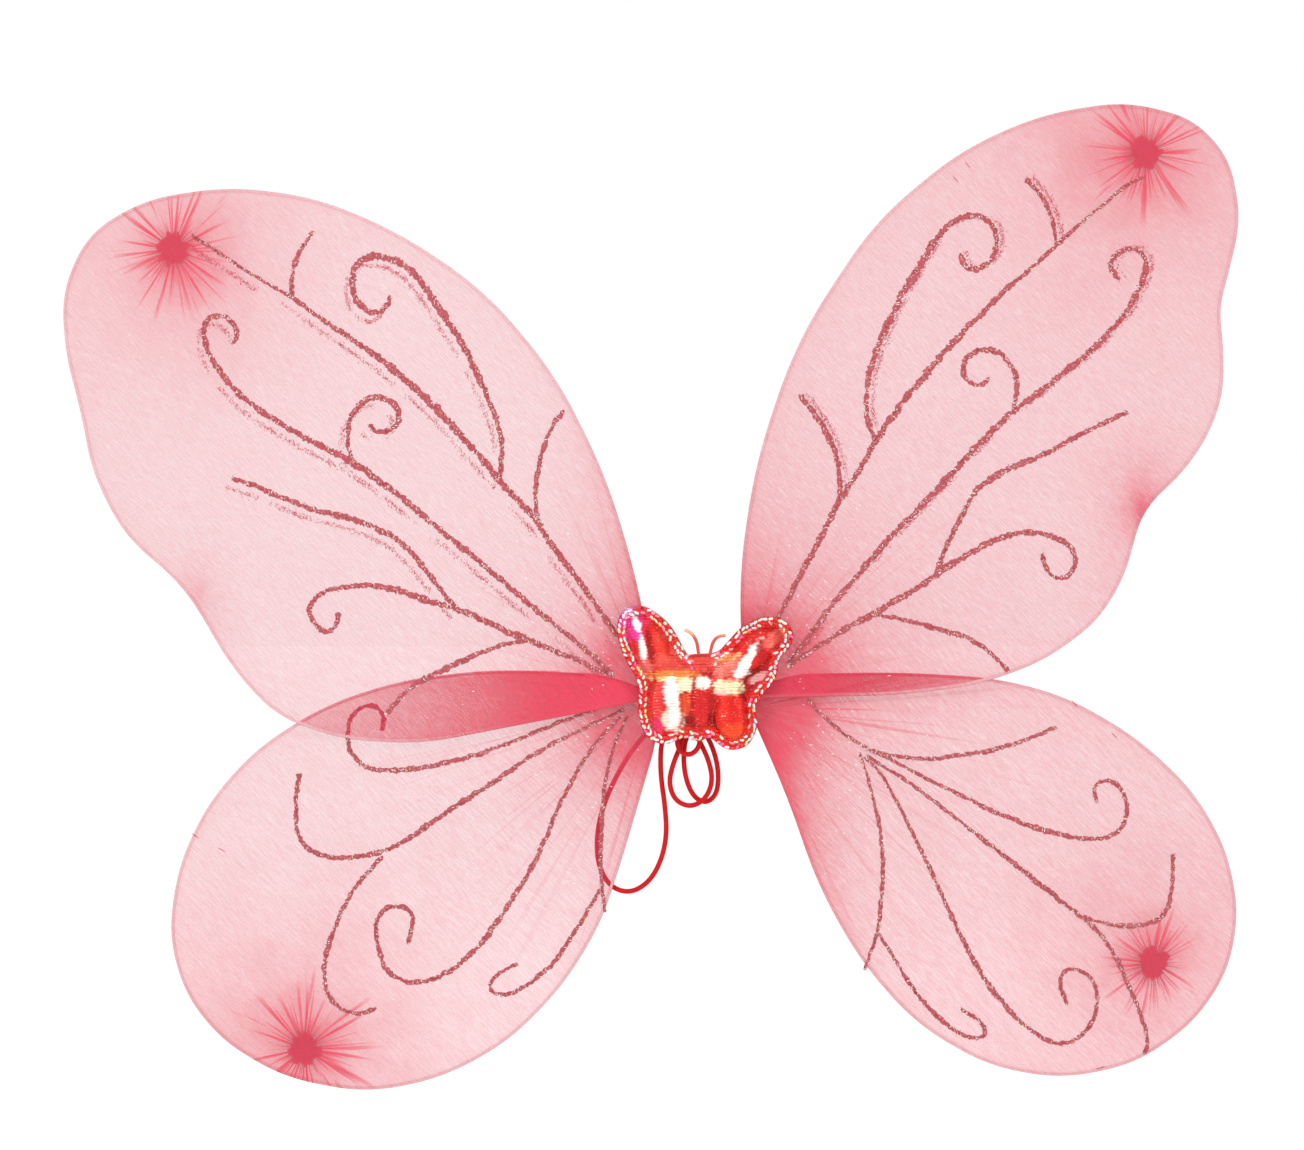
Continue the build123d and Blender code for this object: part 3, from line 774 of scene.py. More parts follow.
LOWER_RIGHT_VEINS = [
    ((1.2, 1.4, 1.6), [(53.3, -1.7), (58.3, -7.5), (66.7, -15), (75, -21.7), (83.3, -25.8)]),
    ((1.6, 2.0, 1.8), [(83.3, -26.7), (93.3, -29.7), (103.3, -31), (113.3, -31.7), (125, -30.3),
     (136.7, -28.7), (148.3, -26.7), (160, -23), (170, -18.7), (178, -15.8)]),
    ((1.4, 2.0, 1.6), [(85, -27.5), (96.7, -32.5), (108.3, -39.2), (120, -45), (131.7, -50.3),
     (143.3, -56.7), (155, -61.3), (166.7, -65.8), (178.3, -69.2), (190, -71.3), (201.7, -71.7),
     (208.3, -68.8), (212.2, -63.3), (213.7, -56.7), (212.2, -49.2), (208.3, -44.2), (202.5, -42),
     (197.5, -43.7), (196.3, -49.2), (198.3, -53.7)]),
    ((1.4, 2.0, 1.6), [(83.3, -30), (93.3, -36.7), (103.3, -42.5), (113.3, -50), (125, -59.2),
     (136.7, -68.3), (148.3, -77.5), (160, -86.7), (171.7, -95.8), (181.7, -104.2), (190, -110),
     (196.7, -115.8), (203.3, -123.3), (209.2, -133.3), (213.3, -143.3), (217.5, -152.5),
     (220.3, -160), (222.5, -167.5), (223.8, -174.2), (221.7, -179.2)]),
    ((1.6, 2.0, 1.6), [(190.8, -110.3), (200, -113.3), (210, -115.5), (220, -115), (228.3, -112.5),
     (233.3, -107.5), (235.3, -100), (236.2, -90), (236.3, -79.2)]),
    ((1.4, 2.0, 1.6), [(81.7, -30.8), (90, -38.3), (95, -47.5), (100.8, -58.3), (106.7, -70),
     (113.3, -83.3), (120, -98.3), (126.7, -113.3), (133.3, -126.7), (141.7, -141.7), (150, -152.5),
     (158.3, -161.7), (166.7, -168.8), (175, -173.3), (182.5, -174.5), (190, -170.8), (195, -165),
     (198, -157.5), (198.8, -149.2), (195.8, -141.7), (190.8, -137.5), (184.2, -136.3), (179.7, -140),
     (180.3, -147.5), (183.3, -154.7)]),
    ((1.2, 1.8, 1.4), [(79.2, -28.3), (83.3, -39.2), (86.3, -51.7), (89.2, -63.3), (90.8, -76.7),
     (91.3, -90), (90.3, -101.7), (89.2, -113.3), (88.3, -118.3), (85, -128.3), (81.7, -137)]),
    ((1.4, 1.8, 1.4), [(88.3, -118.3), (95, -128.3), (101.7, -140), (110, -151.7), (118.3, -160.8),
     (126.7, -167.5), (135, -171.3), (140.8, -170.8), (143, -168), (140, -162.5), (135, -159.7),
     (130, -156.7)]),
]
# Lines, how far the rear layer's crumbs lie from them, the lines that have such crumbs, width factor.
VEINS = {
    "upper_left": (UPPER_LEFT_VEINS, (-3.0, -4.5), (0, 2, 4, 5, 6), 1.04),
    "upper_right": (UPPER_RIGHT_VEINS, (3.2, 0.8), (1, 2, 3, 4), 1.04),
    "lower_left": (LOWER_LEFT_VEINS, (0, 0), (), 1.05),
    "lower_right": (LOWER_RIGHT_VEINS, (0, 0), (), 1.2),
}
GLUE_STEP = 0.55
GLUE_HEIGHT = 0.5
GLUE_RAGGED = 0.65              # how much the edges of a line of glue wander
FLAKE_RATE = 3.6                # flakes for each millimetre of a line
CRUMB_RATE = 8.0
CRUMB_SPREAD = 0.75
CRUMB_TINT = (0.56, 0.10, 0.14)
STRAY_TINT = (1.0, 0.93, 0.93)
MARK_TINT = (0.62, 0.10, 0.13)
# across and height of one half round section
GLUE_PROFILE = ((-1.0, 0.0), (-0.72, 0.62), (-0.25, 1.0), (0.25, 1.0), (0.72, 0.62), (1.0, 0.0))
# share, colour
FLAKE_TINTS = (
    (0.40, (0.38, 0.040, 0.055)),
    (0.28, (0.56, 0.10, 0.12)),
    (0.10, (0.85, 0.38, 0.42)),
    (0.15, (1.0, 0.92, 0.92)),
    (0.05, (0.85, 0.02, 0.06)),
    (0.02, (0.85, 0.95, 0.45)),
    (0.02, (0.95, 0.80, 0.35)),
)


def pick_tints(count):
    weights = np.array([w for w, _ in FLAKE_TINTS])
    chosen = random.choice(len(weights), count, p=weights / weights.sum())
    tints = np.array([c for _, c in FLAKE_TINTS])[chosen]
    return np.clip(tints * random.uniform(0.8, 1.15, (count, 1)), 0, 1)


class Pile:
    """Vertices and faces gathered into one mesh."""

    def __init__(self):
        self.verts, self.faces, self.tints, self.count = [], [], [], 0

    def add(self, verts, faces, tint=None):
        self.verts.append(verts)
        self.faces += [tuple(self.count + i for i in face) for face in faces]
        if tint is not None:
            self.tints.append(np.broadcast_to((*tint, 1.0), (len(verts), 4)))
        self.count += len(verts)

    def piece(self, name, body, slot, material, smooth=True):
        made = add_mesh(name, np.vstack(self.verts), self.faces, body, material, smooth)
        if self.tints:
            add_attribute(made, "tint", "FLOAT_COLOR", np.vstack(self.tints))
        return made


def ragged(count, step, amount):
    """A width that wanders along a line of glue."""
    s = np.arange(count) * step
    offset = random.uniform(0, 500)
    slow = np.array([noise.noise(Vector((offset + v * 0.18, 1.5, 0))) for v in s])
    quick = np.array([noise.noise(Vector((offset + v * 0.95, 7.5, 0))) for v in s])
    return 1 + amount * (0.8 * slow + 1.1 * quick)


def add_glue(glue, route, widths, height, surface):
    """A raised line of glue with wandering edges; returns what the flakes on it need."""
    line = spaced(softened(route), GLUE_STEP)
    count = len(line)
    tangent = unit(np.gradient(line, axis=0))
    across = np.stack([tangent[:, 1], -tangent[:, 0]], 1)
    along = np.linspace(0, 1, count)
    first, middle, last = widths
    width = np.interp(along, (0, 0.12, 0.5, 0.85, 1),
                      (first * 0.9, first * 0.9, middle, middle * 0.8, last))
    ends = np.minimum(1, np.minimum(np.arange(count), np.arange(count)[::-1]) / 2.0 + 0.25)
    left = width * ragged(count, GLUE_STEP, GLUE_RAGGED) / 2 * ends
    right = width * ragged(count, GLUE_STEP, GLUE_RAGGED) / 2 * ends
    rows = []
    for u, rise in GLUE_PROFILE:
        side = np.where(u < 0, left, right)
        flat = line + across * (u * side)[:, None]
        y = surface(flat) - 0.03 - height * rise * (0.6 + 0.4 * ends)
        rows.append(upright(flat, y))
    grid = np.stack(rows, 1)
    faces = []
    wide = len(GLUE_PROFILE)
    for i in range(count - 1):
        for k in range(wide - 1):
            a = i * wide + k
            faces.append((a, a + 1, a + wide + 1, a + wide))
    glue.add(grid.reshape(-1, 3), faces)
    return line, tangent, across, width


def add_specks(specks, route, surface, spread, rate):
    """Crumbs of glue that went through to the layer behind."""
    line = spaced(softened(route), GLUE_STEP)
    tangent = unit(np.gradient(line, axis=0))
    across = np.stack([tangent[:, 1], -tangent[:, 0]], 1)
    offset = random.uniform(0, 300)
    thick = np.array([noise.noise(Vector((offset + k * GLUE_STEP * 0.09, 3.5, 0)))
                      for k in range(len(line))])
    at = random.integers(0, len(line), int(len(line) * GLUE_STEP * rate))
    at = at[random.uniform(-0.45, 0.35, len(at)) < thick[at]]
    add_quads(specks, line[at] + across[at] * random.normal(0, spread, len(at))[:, None], tangent[at],
              across[at], surface, random.normal(0.2, 0.5, len(at)), random.uniform(0.5, 1.5, len(at)),
              random.uniform(0.25, 0.6, len(at)), 0.0, np.tile(CRUMB_TINT, (len(at), 1)))


def add_flakes(flakes, line, tangent, across, width, surface, height, rate):
    """Glitter lying in the glue, most of it across the line."""
    count = int(len(line) * GLUE_STEP * rate)
    at = random.integers(0, len(line), count)
    u = np.clip(random.normal(0, 0.5, count), -1.2, 1.2)
    middle = line[at] + across[at] * (u * width[at] / 2)[:, None]
    rise = 0.08 + height * np.sqrt(np.clip(1 - (u / 1.25) ** 2, 0, 1)) + random.uniform(0, 0.22, count)
    add_quads(flakes, middle, tangent[at], across[at], surface, random.normal(0.75, 0.45, count),
              random.uniform(0.5, 1.9, count), random.uniform(0.28, 0.62, count), rise, pick_tints(count))


def add_quads(pile, middle, tangent, across, surface, swing, long, thin, rise, tints):
    """Small four cornered flakes, each turned by its own angle and leaning a little."""
    count = len(middle)
    if not count:
        return
    lean = random.uniform(-0.25, 0.25, (count, 2))
    y = surface(middle) - rise
    a = tangent * np.cos(swing)[:, None] + across * np.sin(swing)[:, None]
    b = -tangent * np.sin(swing)[:, None] + across * np.cos(swing)[:, None]
    corners = []
    for sa, sb in ((-1, -0.6), (-0.3, -1), (1, 0.6), (0.3, 1)):
        flat = middle + a * (sa * long / 2)[:, None] + b * (sb * thin / 2)[:, None]
        depth = y + (sa * lean[:, 0] * long + sb * lean[:, 1] * thin) / 2
        corners.append(upright(flat, depth))
    verts = np.stack(corners, 1).reshape(-1, 3)
    pile.verts.append(verts)
    pile.faces += [tuple(pile.count + 4 * i + k for k in range(4)) for i in range(count)]
    pile.tints.append(np.concatenate([np.repeat(tints, 4, 0), np.ones((4 * count, 1))], 1))
    pile.count += len(verts)


def add_strays(flakes, wing, count):
    """Single flakes that came to rest near the root."""
    aim = wing.knot - wing.root
    heading = math.atan2(aim[1], aim[0]) + random.normal(0, 0.38, count)
    reach = STRAY_NEAREST + STRAY_SPREAD * random.uniform(0, 1, count) ** 1.3
    spots = wing.root + np.stack([np.cos(heading), np.sin(heading)], 1) * reach[:, None]
    spots = spots[inside(spots, wing.wire)]
    spots = spots[edge_distance(spots, wing.wire) > 3]
    along = np.tile((1.0, 0.0), (len(spots), 1))
    across = np.tile((0.0, 1.0), (len(spots), 1))
    tints = np.tile(STRAY_TINT, (len(spots), 1))
    add_quads(flakes, spots, along, across, wing.front, random.normal(-0.6, 0.5, len(spots)),
              random.uniform(0.7, 1.9, len(spots)), random.uniform(0.35, 0.65, len(spots)), 0.1, tints)


def add_marks(flakes, wing, marks):
    """Short red strokes of glue near the edges: x, z, angle."""
    if not marks:
        return
    spots = np.array([(x, z) for x, z, _ in marks], float)
    along = np.tile((1.0, 0.0), (len(spots), 1))
    across = np.tile((0.0, 1.0), (len(spots), 1))
    add_quads(flakes, spots, along, across, wing.front, np.radians([angle for _, _, angle in marks]),
              np.full(len(spots), 5.5), np.full(len(spots), 0.8), 0.1,
              np.tile(MARK_TINT, (len(spots), 1)))


STRAY_FLAKES = 70
STRAY_NEAREST = 24
STRAY_SPREAD = 110
MARKS = {
    "upper_left": [],
    "upper_right": [(133, 265, -60), (127, 258, -55)],
    "lower_left": [(-253, -70, -40), (-240, -77, -35)],
    "lower_right": [(187, -4, -60), (207, -20, -55), (200, -186, 10)],
}
glue_material = plain("glitter_glue", (0.50, 0.085, 0.10), 0.4, 0.0, 0.8, 1400.0)
speck_material = tinted("glue_specks", 0.7, 0.0)
flake_material = tinted("glitter_flakes", 0.35, 0.1)


def add_veins(wing, veins, offset, ghosts, scale):
    """All the glue of one wing; the lines numbered in ghosts also show behind, moved by the offset."""
    glue, behind, flakes = Pile(), Pile(), Pile()

    def rear(points):
        return np.full(len(points), wing.plane + 0.1)

    for index, (widths, route) in enumerate(veins):
        laid = add_glue(glue, route, [width * scale for width in widths], GLUE_HEIGHT, wing.front)
        add_flakes(flakes, *laid, wing.front, GLUE_HEIGHT, FLAKE_RATE)
        if index in ghosts:
            moved = np.array(route) + offset
            moved = moved[inside(moved, wing.wire)]
            add_specks(behind, moved, rear, CRUMB_SPREAD, CRUMB_RATE)
    add_strays(flakes, wing, STRAY_FLAKES)
    add_marks(flakes, wing, MARKS[wing.name])
    glue.piece(wing.name + "_glitter_glue", wing.body, "glue", glue_material)
    flakes.piece(wing.name + "_glitter_flakes", wing.body, "foil_fabric", flake_material, smooth=False)
    if behind.verts:
        behind.piece(wing.name + "_glue_behind", wing.body, "glue", speck_material, smooth=False)


for name, lines in VEINS.items():
    add_veins(WINGS[name], *lines)


# ---------------------------------------------------------------- padded foil butterfly

BORDER_Y = -17.3
COVER_BACK_Y = -15.3
PUFF = 6.3
# x, z, half length, half width, tilt, rise
LOBES = [
    (-26.5, 26, 15, 8.5, 112, 1.0), (26, 23.2, 15, 7.5, 36, 1.0), (-18.3, -5, 13.5, 9, 90, 1.0),
    (15, -9, 12, 7.6, 90, 1.0), (-0.8, 1.5, 16, 5.5, 90, 0.8), (-13, 11.5, 12, 7, 150, 0.85),
    (12, 9, 12, 7.5, 45, 0.9), (-8, -2, 8, 7, 0, 0.5), (8, -2, 8, 7, 0, 0.5),
]
# painted reflections of the foil, its highlights and dark patches, and painted shade along the grooves
# between the puffs: x, z, half length, half width, tilt, colour, strength
PAINTED_FOIL_REFLECTIONS_AND_SHADE = [
    (-21, 3, 4.5, 12, 0, (0.66, 0.045, 0.04), 0.8),
    (-28, 16, 3.5, 6, 0, (0.76, 0.22, 0.20), 0.6),
    (-10, 18, 13, 5.4, 0, (0.77, 0.080, 0.055), 1.0),
    (1, 18.5, 6.5, 5.5, 0, (0.77, 0.075, 0.060), 1.0),
    (-14, 11.2, 12, 1.9, 0, (0.84, 0.24, 0.05), 1.0),
    (-14, 8.8, 10, 1.1, 0, (0.88, 0.78, 0.30), 0.8),
    (-15, 2.6, 3.3, 6.6, 0, (1.0, 0.98, 0.93), 1.0),
    (-14, -11, 5.2, 5.2, 0, (0.98, 0.80, 0.66), 0.9),
    (-13.5, -8, 2.6, 8.5, 0, (1.0, 0.95, 0.85), 0.8),
    (-8, 6.0, 4.0, 3.2, 30, (0.86, 0.95, 0.66), 0.9),
    (-8, -4, 2.6, 5.5, 0, (0.80, 0.10, 0.03), 0.7),
    (-22, -15, 3.0, 4.0, 0, (0.78, 0.03, 0.14), 0.8),
    (1, 7.0, 3.6, 3.0, 0, (0.92, 0.98, 0.82), 1.0),
    (0, -7, 3.4, 9.5, 0, (0.64, 0.020, 0.022), 0.9),
    (12, 15.5, 6.5, 5.0, 25, (0.80, 0.19, 0.14), 0.9),
    (13, 19.5, 5.5, 1.6, 18, (0.90, 0.42, 0.14), 0.8),
    (22.5, 18, 10.0, 2.2, 57, (1.0, 0.95, 0.90), 1.0),
    (20, 12.5, 3.8, 2.2, 15, (1.0, 0.92, 0.86), 0.9),
    (30.5, 19, 2.6, 8, 10, (0.46, 0.010, 0.014), 0.9),
    (36, 29, 6, 3.0, 40, (0.80, 0.20, 0.15), 0.7),
    (39, 27, 3, 6, 20, (0.56, 0.016, 0.02), 0.6),
    (28, 9.5, 5, 1.6, 30, (0.95, 0.50, 0.48), 0.7),
    (13.5, 4.8, 7, 3.4, -5, (0.90, 0.86, 0.52), 0.95),
    (10.5, 2.5, 4, 1.5, 0, (1.0, 0.72, 0.62), 0.7),
    (13.5, -9, 6.0, 9.5, 0, (0.72, 0.022, 0.014), 0.9),
    (15.5, -17, 6, 4, 0, (0.82, 0.075, 0.02), 0.8),
    (-35.5, 37.5, 6.0, 8.5, 15, (0.76, 0.035, 0.26), 1.0),
    (-28.5, 40, 4.5, 4, 30, (0.80, 0.04, 0.14), 0.8),
    (-32, 36, 1.6, 3.6, 25, (0.90, 0.97, 1.0), 1.0),
    (-36, 43, 4, 2.2, 30, (0.62, 0.30, 0.78), 0.7),
    (-29, 24, 1.6, 5.5, 8, (1.0, 0.90, 0.84), 0.95),
    (-25.6, 25, 1.7, 7.5, 8, (0.36, 0.010, 0.010), 0.95),
    (-20, 27, 3.6, 5.5, 35, (0.76, 0.05, 0.03), 0.8),
    (-4.2, 0, 1.0, 9.5, -4, (0.42, 0.010, 0.012), 0.85),
    (5.4, -1, 1.1, 10.5, 3, (0.42, 0.010, 0.012), 0.85),
    (22.5, 2, 1.6, 6.0, -10, (0.45, 0.012, 0.016), 0.7),
]


def rotated(points, x, z, tilt):
    a = math.radians(tilt)
    dx, dz = points[:, 0] - x, points[:, 1] - z
    return dx * math.cos(a) + dz * math.sin(a), -dx * math.sin(a) + dz * math.cos(a)


def puffiness(points):
    value = np.zeros(len(points))
    for x, z, long, wide, tilt, rise in LOBES:
        u, v = rotated(points, x, z, tilt)
        bulge = np.clip(1 - (u / (long + 1.5)) ** 2 - (v / (wide + 1.5)) ** 2, 0, 1)
        value = value + (rise * np.sqrt(bulge) * min(1, wide / 8)) ** 4
    return np.minimum(value ** 0.25, 1.02)


def foil_material():
    g = Graph("foil")
    tint = g.attribute("tint", "Color")
    place = g.place()
    rib = g.wave(place, 210.0, 1.6, 2.0, "Z")
    crumple = g.noise(place, 420.0, 3.0, 0.6)
    height = g.math("ADD", g.math("MULTIPLY", rib, 0.6), g.math("MULTIPLY", crumple, 0.8))
    g.bump(height, 0.55, 0.0006)
    # painted glints: small noisy spots of the foil lightened towards pale orange
    painted_glint = g.remap(g.noise(place, 700.0, 2.0, 0.7), 0.60, 0.72)
    colour = g.mix(g.math("MULTIPLY", painted_glint, 0.35), tint, (1.0, 0.62, 0.45))
    # painted shade: the foil's colour is darkened in the troughs of its ribs
    colour = g.mix(g.math("MULTIPLY", g.remap(rib, 0.0, 0.4, 1.0, 0.0), 0.26), colour, (0.45, 0.01, 0.01))
    g.set(Base_Color=colour, Roughness=0.30, Metallic=0.85)
    # painted glow: the foil gives off light in its own colour, which brightens its painted reflections
    g.put(g.shader.inputs["Emission Color"], colour)
    g.shader.inputs["Emission Strength"].default_value = 0.2
    g.shader.inputs["Coat Weight"].default_value = 0.12
    g.shader.inputs["Coat Roughness"].default_value = 0.10
    return g.material


def add_cover():
    """The puffed foil front; returns the border's outline and the depth of the foil at a point."""
    outline = spaced(plate_outline("butterfly_backing"), 1.0, closed=True)
    count = len(outline)
    normal = outward(outline)
    rings = [(0.0, COVER_BACK_Y), (0.25, -15.9), (0.2, -16.6), (-0.25, -17.1), (-0.9, BORDER_Y)]
    verts = []
    for grow, y in rings:
        flat = outline + normal * grow
        verts.append(upright(flat, y))
    last = outline + normal * rings[-1][0]
    extra = hex_points(last, 0.75, 0.6)

    def height(flat):
        d = edge_distance(flat, outline)
        inner = np.clip((d - 3.6) / 3.0, 0, 1)
        inner = inner * inner * (3 - 2 * inner)
        puff = puffiness(flat)
        crease = np.array([noise.noise(Vector((x * 0.10, z * 0.34, 4.0))) for x, z in flat])
        fold = np.array([noise.noise(Vector((x * 0.33, z * 0.12, 9.0))) for x, z in flat])
        ridge = 0.28 * np.clip(1 - np.abs(d - 2.2) / 1.6, 0, 1)
        lift = PUFF * puff * inner
        return BORDER_Y - lift - ridge - inner * (0.35 * crease + 0.45 * fold * (1 - 0.5 * puff))

    verts.append(upright(extra, height(extra)))
    faces = []
    for k in range(len(rings) - 1):
        a, b = k * count, (k + 1) * count
        for i in range(count):
            n = (i + 1) % count
            faces.append((b + i, b + n, a + n, a + i))
    base = (len(rings) - 1) * count
    for a, b, c in filled(last, extra):
        faces.append((base + a, base + b, base + c))
    for a, b, c in filled(outline, np.empty((0, 2))):
        faces.append((c, b, a))
    verts = np.vstack(verts)
    flat = verts[:, [0, 2]]
    tint = np.tile(np.array([0.70, 0.022, 0.018]), (len(verts), 1))
    # painted shade: the foil's colour is darkened in the creases between the puffs
    inner = np.clip((edge_distance(flat, outline) - 4.6) / 2.0, 0, 1)
    crease = np.clip((0.70 - puffiness(flat)) / 0.45, 0, 1) * inner
    tint = tint * (1 - 0.65 * crease[:, None])
    # paint the foil's reflections, and the shade in its grooves, into its colour
    for x, z, long, wide, tilt, colour, strength in PAINTED_FOIL_REFLECTIONS_AND_SHADE:
        u, v = rotated(flat, x, z, tilt)
        rough = np.array([noise.noise(Vector((p * 0.45, q * 0.9, 20 + x))) for p, q in flat])
        near = np.clip(1.35 - np.sqrt((u / long) ** 2 + (v / wide) ** 2) + 0.5 * rough, 0, 0.5) / 0.5
        near = (near * near * (3 - 2 * near) * strength)[:, None]
        tint = tint * (1 - near) + np.array(colour) * near
    piece = add_mesh("butterfly_foil", verts, faces, "centre", foil_material())
    add_attribute(piece, "tint", "FLOAT_COLOR", np.concatenate([tint, np.ones((len(verts), 1))], 1))
    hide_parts("butterfly_cover", "butterfly_filling")
    return outline, height


# weight, colour
STITCH_TINTS = [
    (4, (1.0, 0.95, 0.93)), (2, (0.66, 0.93, 0.70)), (2, (0.95, 0.86, 0.42)), (3, (0.95, 0.40, 0.42)),
    (3, (0.80, 0.05, 0.05)), (1, (0.66, 0.90, 0.95)), (1, (0.90, 0.16, 0.45)),
]


def bead(centre, direction, length, radius):
    """A short rounded stitch lying along a direction in the x, z plane."""
    rings, sides = 5, 7
    verts = []
    along = np.array([direction[0], 0.0, direction[1]])
    side = np.array([-direction[1], 0.0, direction[0]])
    front = np.array([0.0, -1.0, 0.0])
    for i in range(rings):
        t = math.pi * (i + 0.5) / rings
        for k in range(sides):
            a = 2 * math.pi * k / sides
            r = radius * math.sin(t) ** 0.6
            verts.append(centre + along * (-math.cos(t) * length / 2)
                         + r * (side * math.cos(a) + 0.75 * front * math.sin(a)))
    faces = [(a, d, c, b) for a, b, c, d in bands(rings, sides)]
    faces.append(tuple(range(sides)))
    faces.append(tuple(reversed(range((rings - 1) * sides, rings * sides))))
    return np.array(verts), faces


HEAD = (0.5, 5.0, 14)           # middle x, half width and lower edge of the part that has no stitches
SEAMS = (
    [(-9.5, 21.5), (-7.0, 18.5), (-4.6, 15.0)],
    [(9.5, 21.0), (7.4, 17.5), (5.8, 13.5)],
)


def add_stitches(outline, surface):
    stitches = Pile()
    weights = np.array([w for w, _ in STITCH_TINTS], float)
    rows = []
    for inset, pitch, slant in ((0.9, 2.5, 0.3), (3.3, 2.7, -0.35)):
        ring = outline - outward(outline) * inset
        for _ in range(3):
            ring = ring * 0.5 + (np.roll(ring, 1, 0) + np.roll(ring, -1, 0)) * 0.25
        places = spaced(ring, pitch, closed=True)
        tangent = unit(np.roll(places, -1, 0) - np.roll(places, 1, 0))
        off_head = (np.abs(places[:, 0] - HEAD[0]) > HEAD[1]) | (places[:, 1] < HEAD[2])
        rows.append((places[off_head], tangent[off_head], pitch, slant))
    for seam in SEAMS:
        places = spaced(softened(seam), 2.4)
        rows.append((places, unit(np.gradient(places, axis=0)), 2.4, 0.2))
    for places, tangents, pitch, slant in rows:
        for place, direction in zip(places, tangents):
            angle = slant + random.normal(0, 0.28)
            turned = (direction[0] * math.cos(angle) - direction[1] * math.sin(angle),
                      direction[0] * math.sin(angle) + direction[1] * math.cos(angle))
            tint = STITCH_TINTS[random.choice(len(weights), p=weights / weights.sum())][1]
            jitter = random.normal(0, 0.2, 2)
            centre = np.array([place[0] + jitter[0], 0.0, place[1] + jitter[1]])
            centre[1] = surface(centre[None, [0, 2]])[0] - random.uniform(0.05, 0.25)
            verts, faces = bead(centre, turned, pitch * random.uniform(0.8, 1.2), random.uniform(0.6, 0.92))
            stitches.add(verts, faces, tint)
    piece = stitches.piece("butterfly_stitches", "centre", "stitching", tinted("stitches", 0.25, 0.45))
    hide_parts("butterfly_stitching")


add_stitches(*add_cover())


# ---------------------------------------------------------------- gathers, tufts and threads

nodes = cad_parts
dense_nylon = plain("gathered_nylon", (0.72, 0.05, 0.10), 0.65, 0.0, 0.5, 900.0)
thread = plain("thread", (0.55, 0.02, 0.045), 0.6)


def node_box(name):
    co = np.array([nodes[name].matrix_world @ v.co for v in nodes[name].data.vertices]) / MM
    return co.min(0), co.max(0)


def add_tuft(wing):
    """The stocking's cut end, which spreads out behind its knot."""
    node = wing.name + "_tip_tuft"
    low, high = node_box(node)
    sides, rows = 96, 14
    verts = []
    phase = wing.knot[0]
    for j in range(rows):
        t = j / (rows - 1)
        radius = 1.6 + 2.9 * t ** 1.6
        for k in range(sides):
            a = 2 * math.pi * k / sides
            pleat = math.sin(13 * a + phase) + 0.5 * math.sin(7 * a + 2 * phase + 3 * t)
            r = radius * (1 + 0.20 * pleat * (0.35 + 0.65 * t))
            lip = 0.35 * math.sin(5 * a + phase) * t
            y = low[1] + (high[1] - low[1]) * t + lip - 0.35 * t
            verts.append((wing.knot[0] + r * math.cos(a), y, wing.knot[1] + r * math.sin(a)))
    faces = [(a, d, c, b) for a, b, c, d in bands(rows, sides)]
    middle = len(verts)
    depth = low[1] + (high[1] - low[1]) * 0.35
    verts.append((wing.knot[0], depth, wing.knot[1]))
    top = (rows - 1) * sides
    for k in range(sides):
        faces.append((top + k, middle, top + (k + 1) % sides))
    faces.append(tuple(range(sides)))
    piece = add_mesh(wing.name + "_tuft", verts, faces, wing.body, dense_nylon)
    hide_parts(node)


for wing in WINGS.values():
    add_tuft(wing)


def tape_material(name, direction):
    """Fabric tape wound in overlapping turns."""
    g = Graph(name)
    place = g.place()
    turns = g.wave(place, 55.0, 0.8, 1.0, direction)
    cloth = g.noise(place, 900.0, 2.0, 0.6)
    g.bump(g.math("ADD", turns, g.math("MULTIPLY", cloth, 0.25)), 0.8, 0.0009)
    colour = g.mix(turns, (0.42, 0.018, 0.045), (0.66, 0.04, 0.085))
    return g.set(Base_Color=colour, Roughness=0.7)


FINISHES = {
    "wire": ("wire", plain("wire", (0.86, 0.72, 0.74), 0.4)),
    "root_gather": ("gathered_nylon", dense_nylon),
    "root_thread": ("thread", thread),
    "tip_thread": ("thread", thread),
    "root_wrap": ("tape", tape_material("tape", "X")),
    "root_pin": ("wire", plain("pin_wire", (0.55, 0.55, 0.56), 0.3, 0.9)),
    "centre_binding": ("tape", tape_material("binding_tape", "Z")),
    "back_patch": ("felt", plain("felt", (0.70, 0.045, 0.09), 0.95, 0.0, 0.9, 1500.0)),
    "glue_disc": ("glue", plain("clear_glue", (0.85, 0.80, 0.70), 0.25)),
    "butterfly_backing": ("backing_fabric", plain("backing", (0.62, 0.02, 0.03), 0.8, 0.0, 0.6, 1200.0)),
}


def antenna_material():
    g = Graph("antenna")
    place = g.place()
    tip = g.remap(g.vector("DOT_PRODUCT", place, (0.0, 0.0, 1.0), output="Value"), 0.0285, 0.0325)
    ring = g.noise(place, 900.0, 2.0)
    colour = g.mix(tip, (0.70, 0.075, 0.05), (0.86, 0.50, 0.30))
    g.bump(ring, 0.5, 0.0003)
    return g.set(Base_Color=colour, Roughness=0.4, Metallic=0.2)


FINISHES["antenna"] = ("antenna_wire", antenna_material())
for name, node in nodes.items():
    for ending, (slot, material) in FINISHES.items():
        if name.endswith(ending):
            node.data.materials.clear()
            node.data.materials.append(material)


# ---------------------------------------------------------------- floor and light


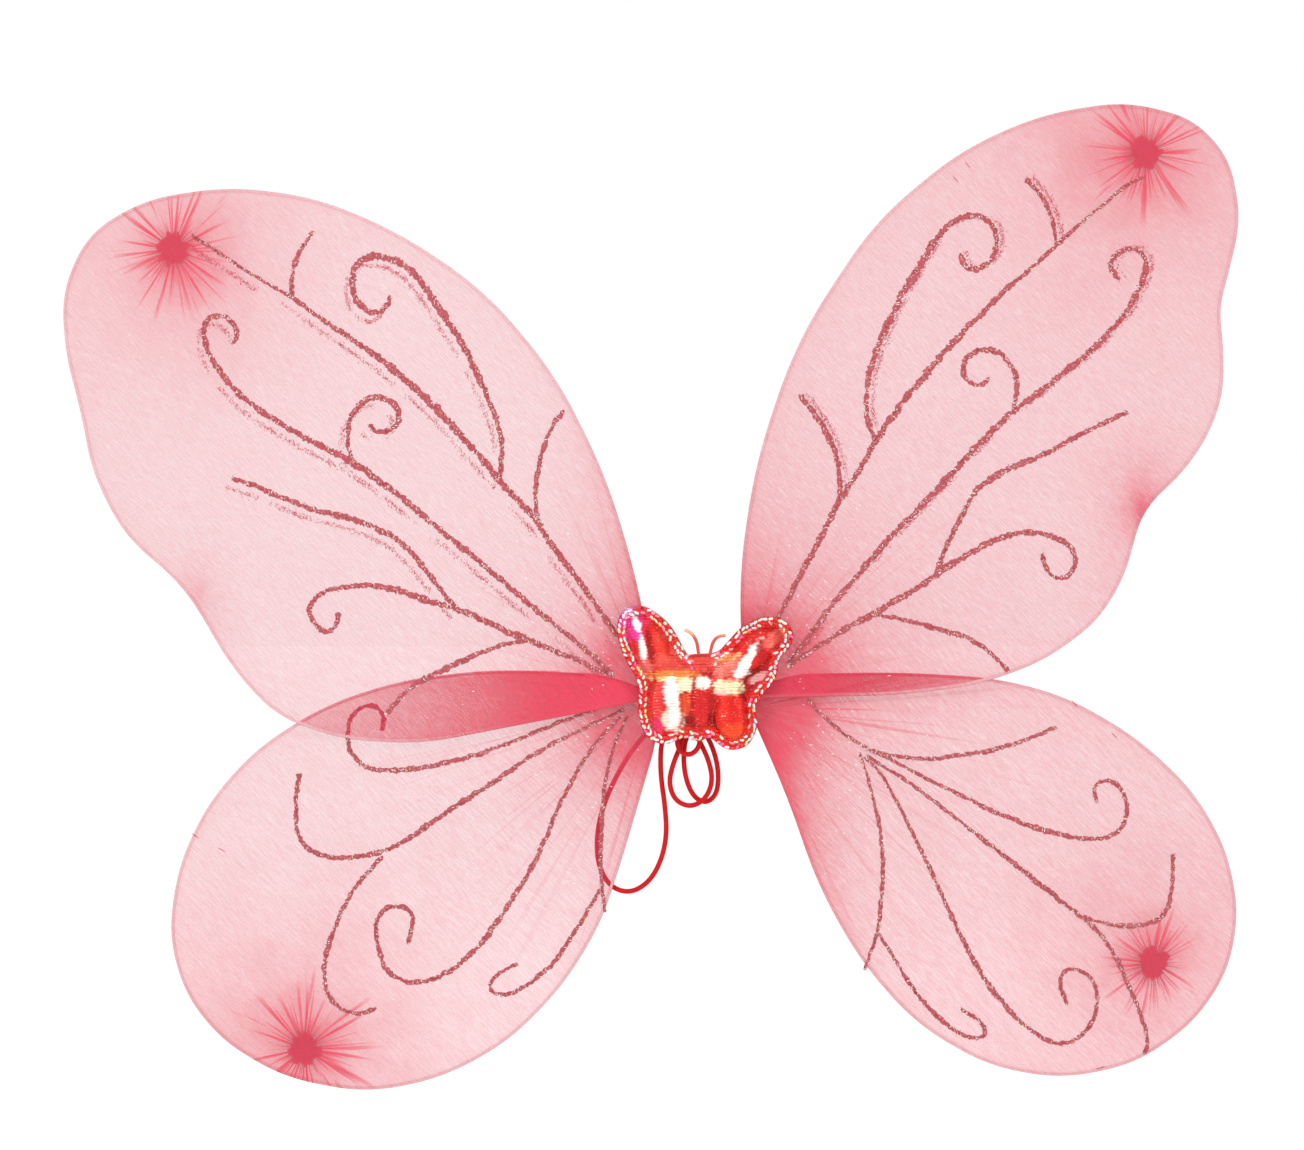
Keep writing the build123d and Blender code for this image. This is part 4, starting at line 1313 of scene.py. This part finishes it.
def add_floor():
    floor = bpy.data.meshes.new("floor")
    half, z = 14.0, -0.30
    corners = [(-half, -half, z), (half, -half, z), (half, half, z), (-half, half, z)]
    floor.from_pydata(corners, [], [(0, 1, 2, 3)])
    piece = bpy.data.objects.new("floor", floor)
    bpy.context.scene.collection.objects.link(piece)
    g = Graph("floor")
    g.set(Base_Color=(0.34, 0.34, 0.34, 1), Roughness=0.9)
    g.shader.inputs["Emission Color"].default_value = (1, 1, 1, 1)
    g.shader.inputs["Emission Strength"].default_value = 0.72
    floor.materials.append(g.material)


def add_world():
    world = bpy.data.worlds.new("studio")
    bpy.context.scene.world = world
    world.use_nodes = True
    tree = world.node_tree
    tree.nodes.clear()
    place = tree.nodes.new("ShaderNodeTexCoord")
    apart = tree.nodes.new("ShaderNodeSeparateXYZ")
    ramp = tree.nodes.new("ShaderNodeValToRGB")
    shape = tree.nodes.new("ShaderNodeMapRange")
    tree.links.new(place.outputs["Generated"], apart.inputs[0])
    tree.links.new(apart.outputs["Z"], shape.inputs["Value"])
    shape.inputs["From Min"].default_value = -1
    tree.links.new(shape.outputs[0], ramp.inputs["Fac"])
    stops = ramp.color_ramp.elements
    stops[0].position, stops[0].color = 0.30, (0.62, 0.61, 0.62, 1)
    stops[1].position, stops[1].color = 0.85, (1.05, 1.05, 1.05, 1)
    light = tree.nodes.new("ShaderNodeBackground")
    tree.links.new(ramp.outputs[0], light.inputs["Color"])
    light.inputs["Strength"].default_value = 0.80
    seen = tree.nodes.new("ShaderNodeBackground")
    seen.inputs["Color"].default_value = (1, 1, 1, 1)
    seen.inputs["Strength"].default_value = 1.0
    path = tree.nodes.new("ShaderNodeLightPath")
    pick = tree.nodes.new("ShaderNodeMixShader")
    tree.links.new(path.outputs["Is Camera Ray"], pick.inputs[0])
    tree.links.new(light.outputs[0], pick.inputs[1])
    tree.links.new(seen.outputs[0], pick.inputs[2])
    out = tree.nodes.new("ShaderNodeOutputWorld")
    tree.links.new(pick.outputs[0], out.inputs["Surface"])


add_floor()
add_world()
add_area("key", (-0.9, -1.3, 1.0), (0, 0, 0.02), (0.7, 0.7), 9)
add_area("fill", (1.1, -1.2, 0.5), (0, 0, 0.02), (0.6, 0.9), 4)
add_area("rim", (0.2, 1.2, 1.2), (0, 0, 0.02), (0.8, 0.5), 6)
bpy.context.scene.view_settings.view_transform = "Standard"

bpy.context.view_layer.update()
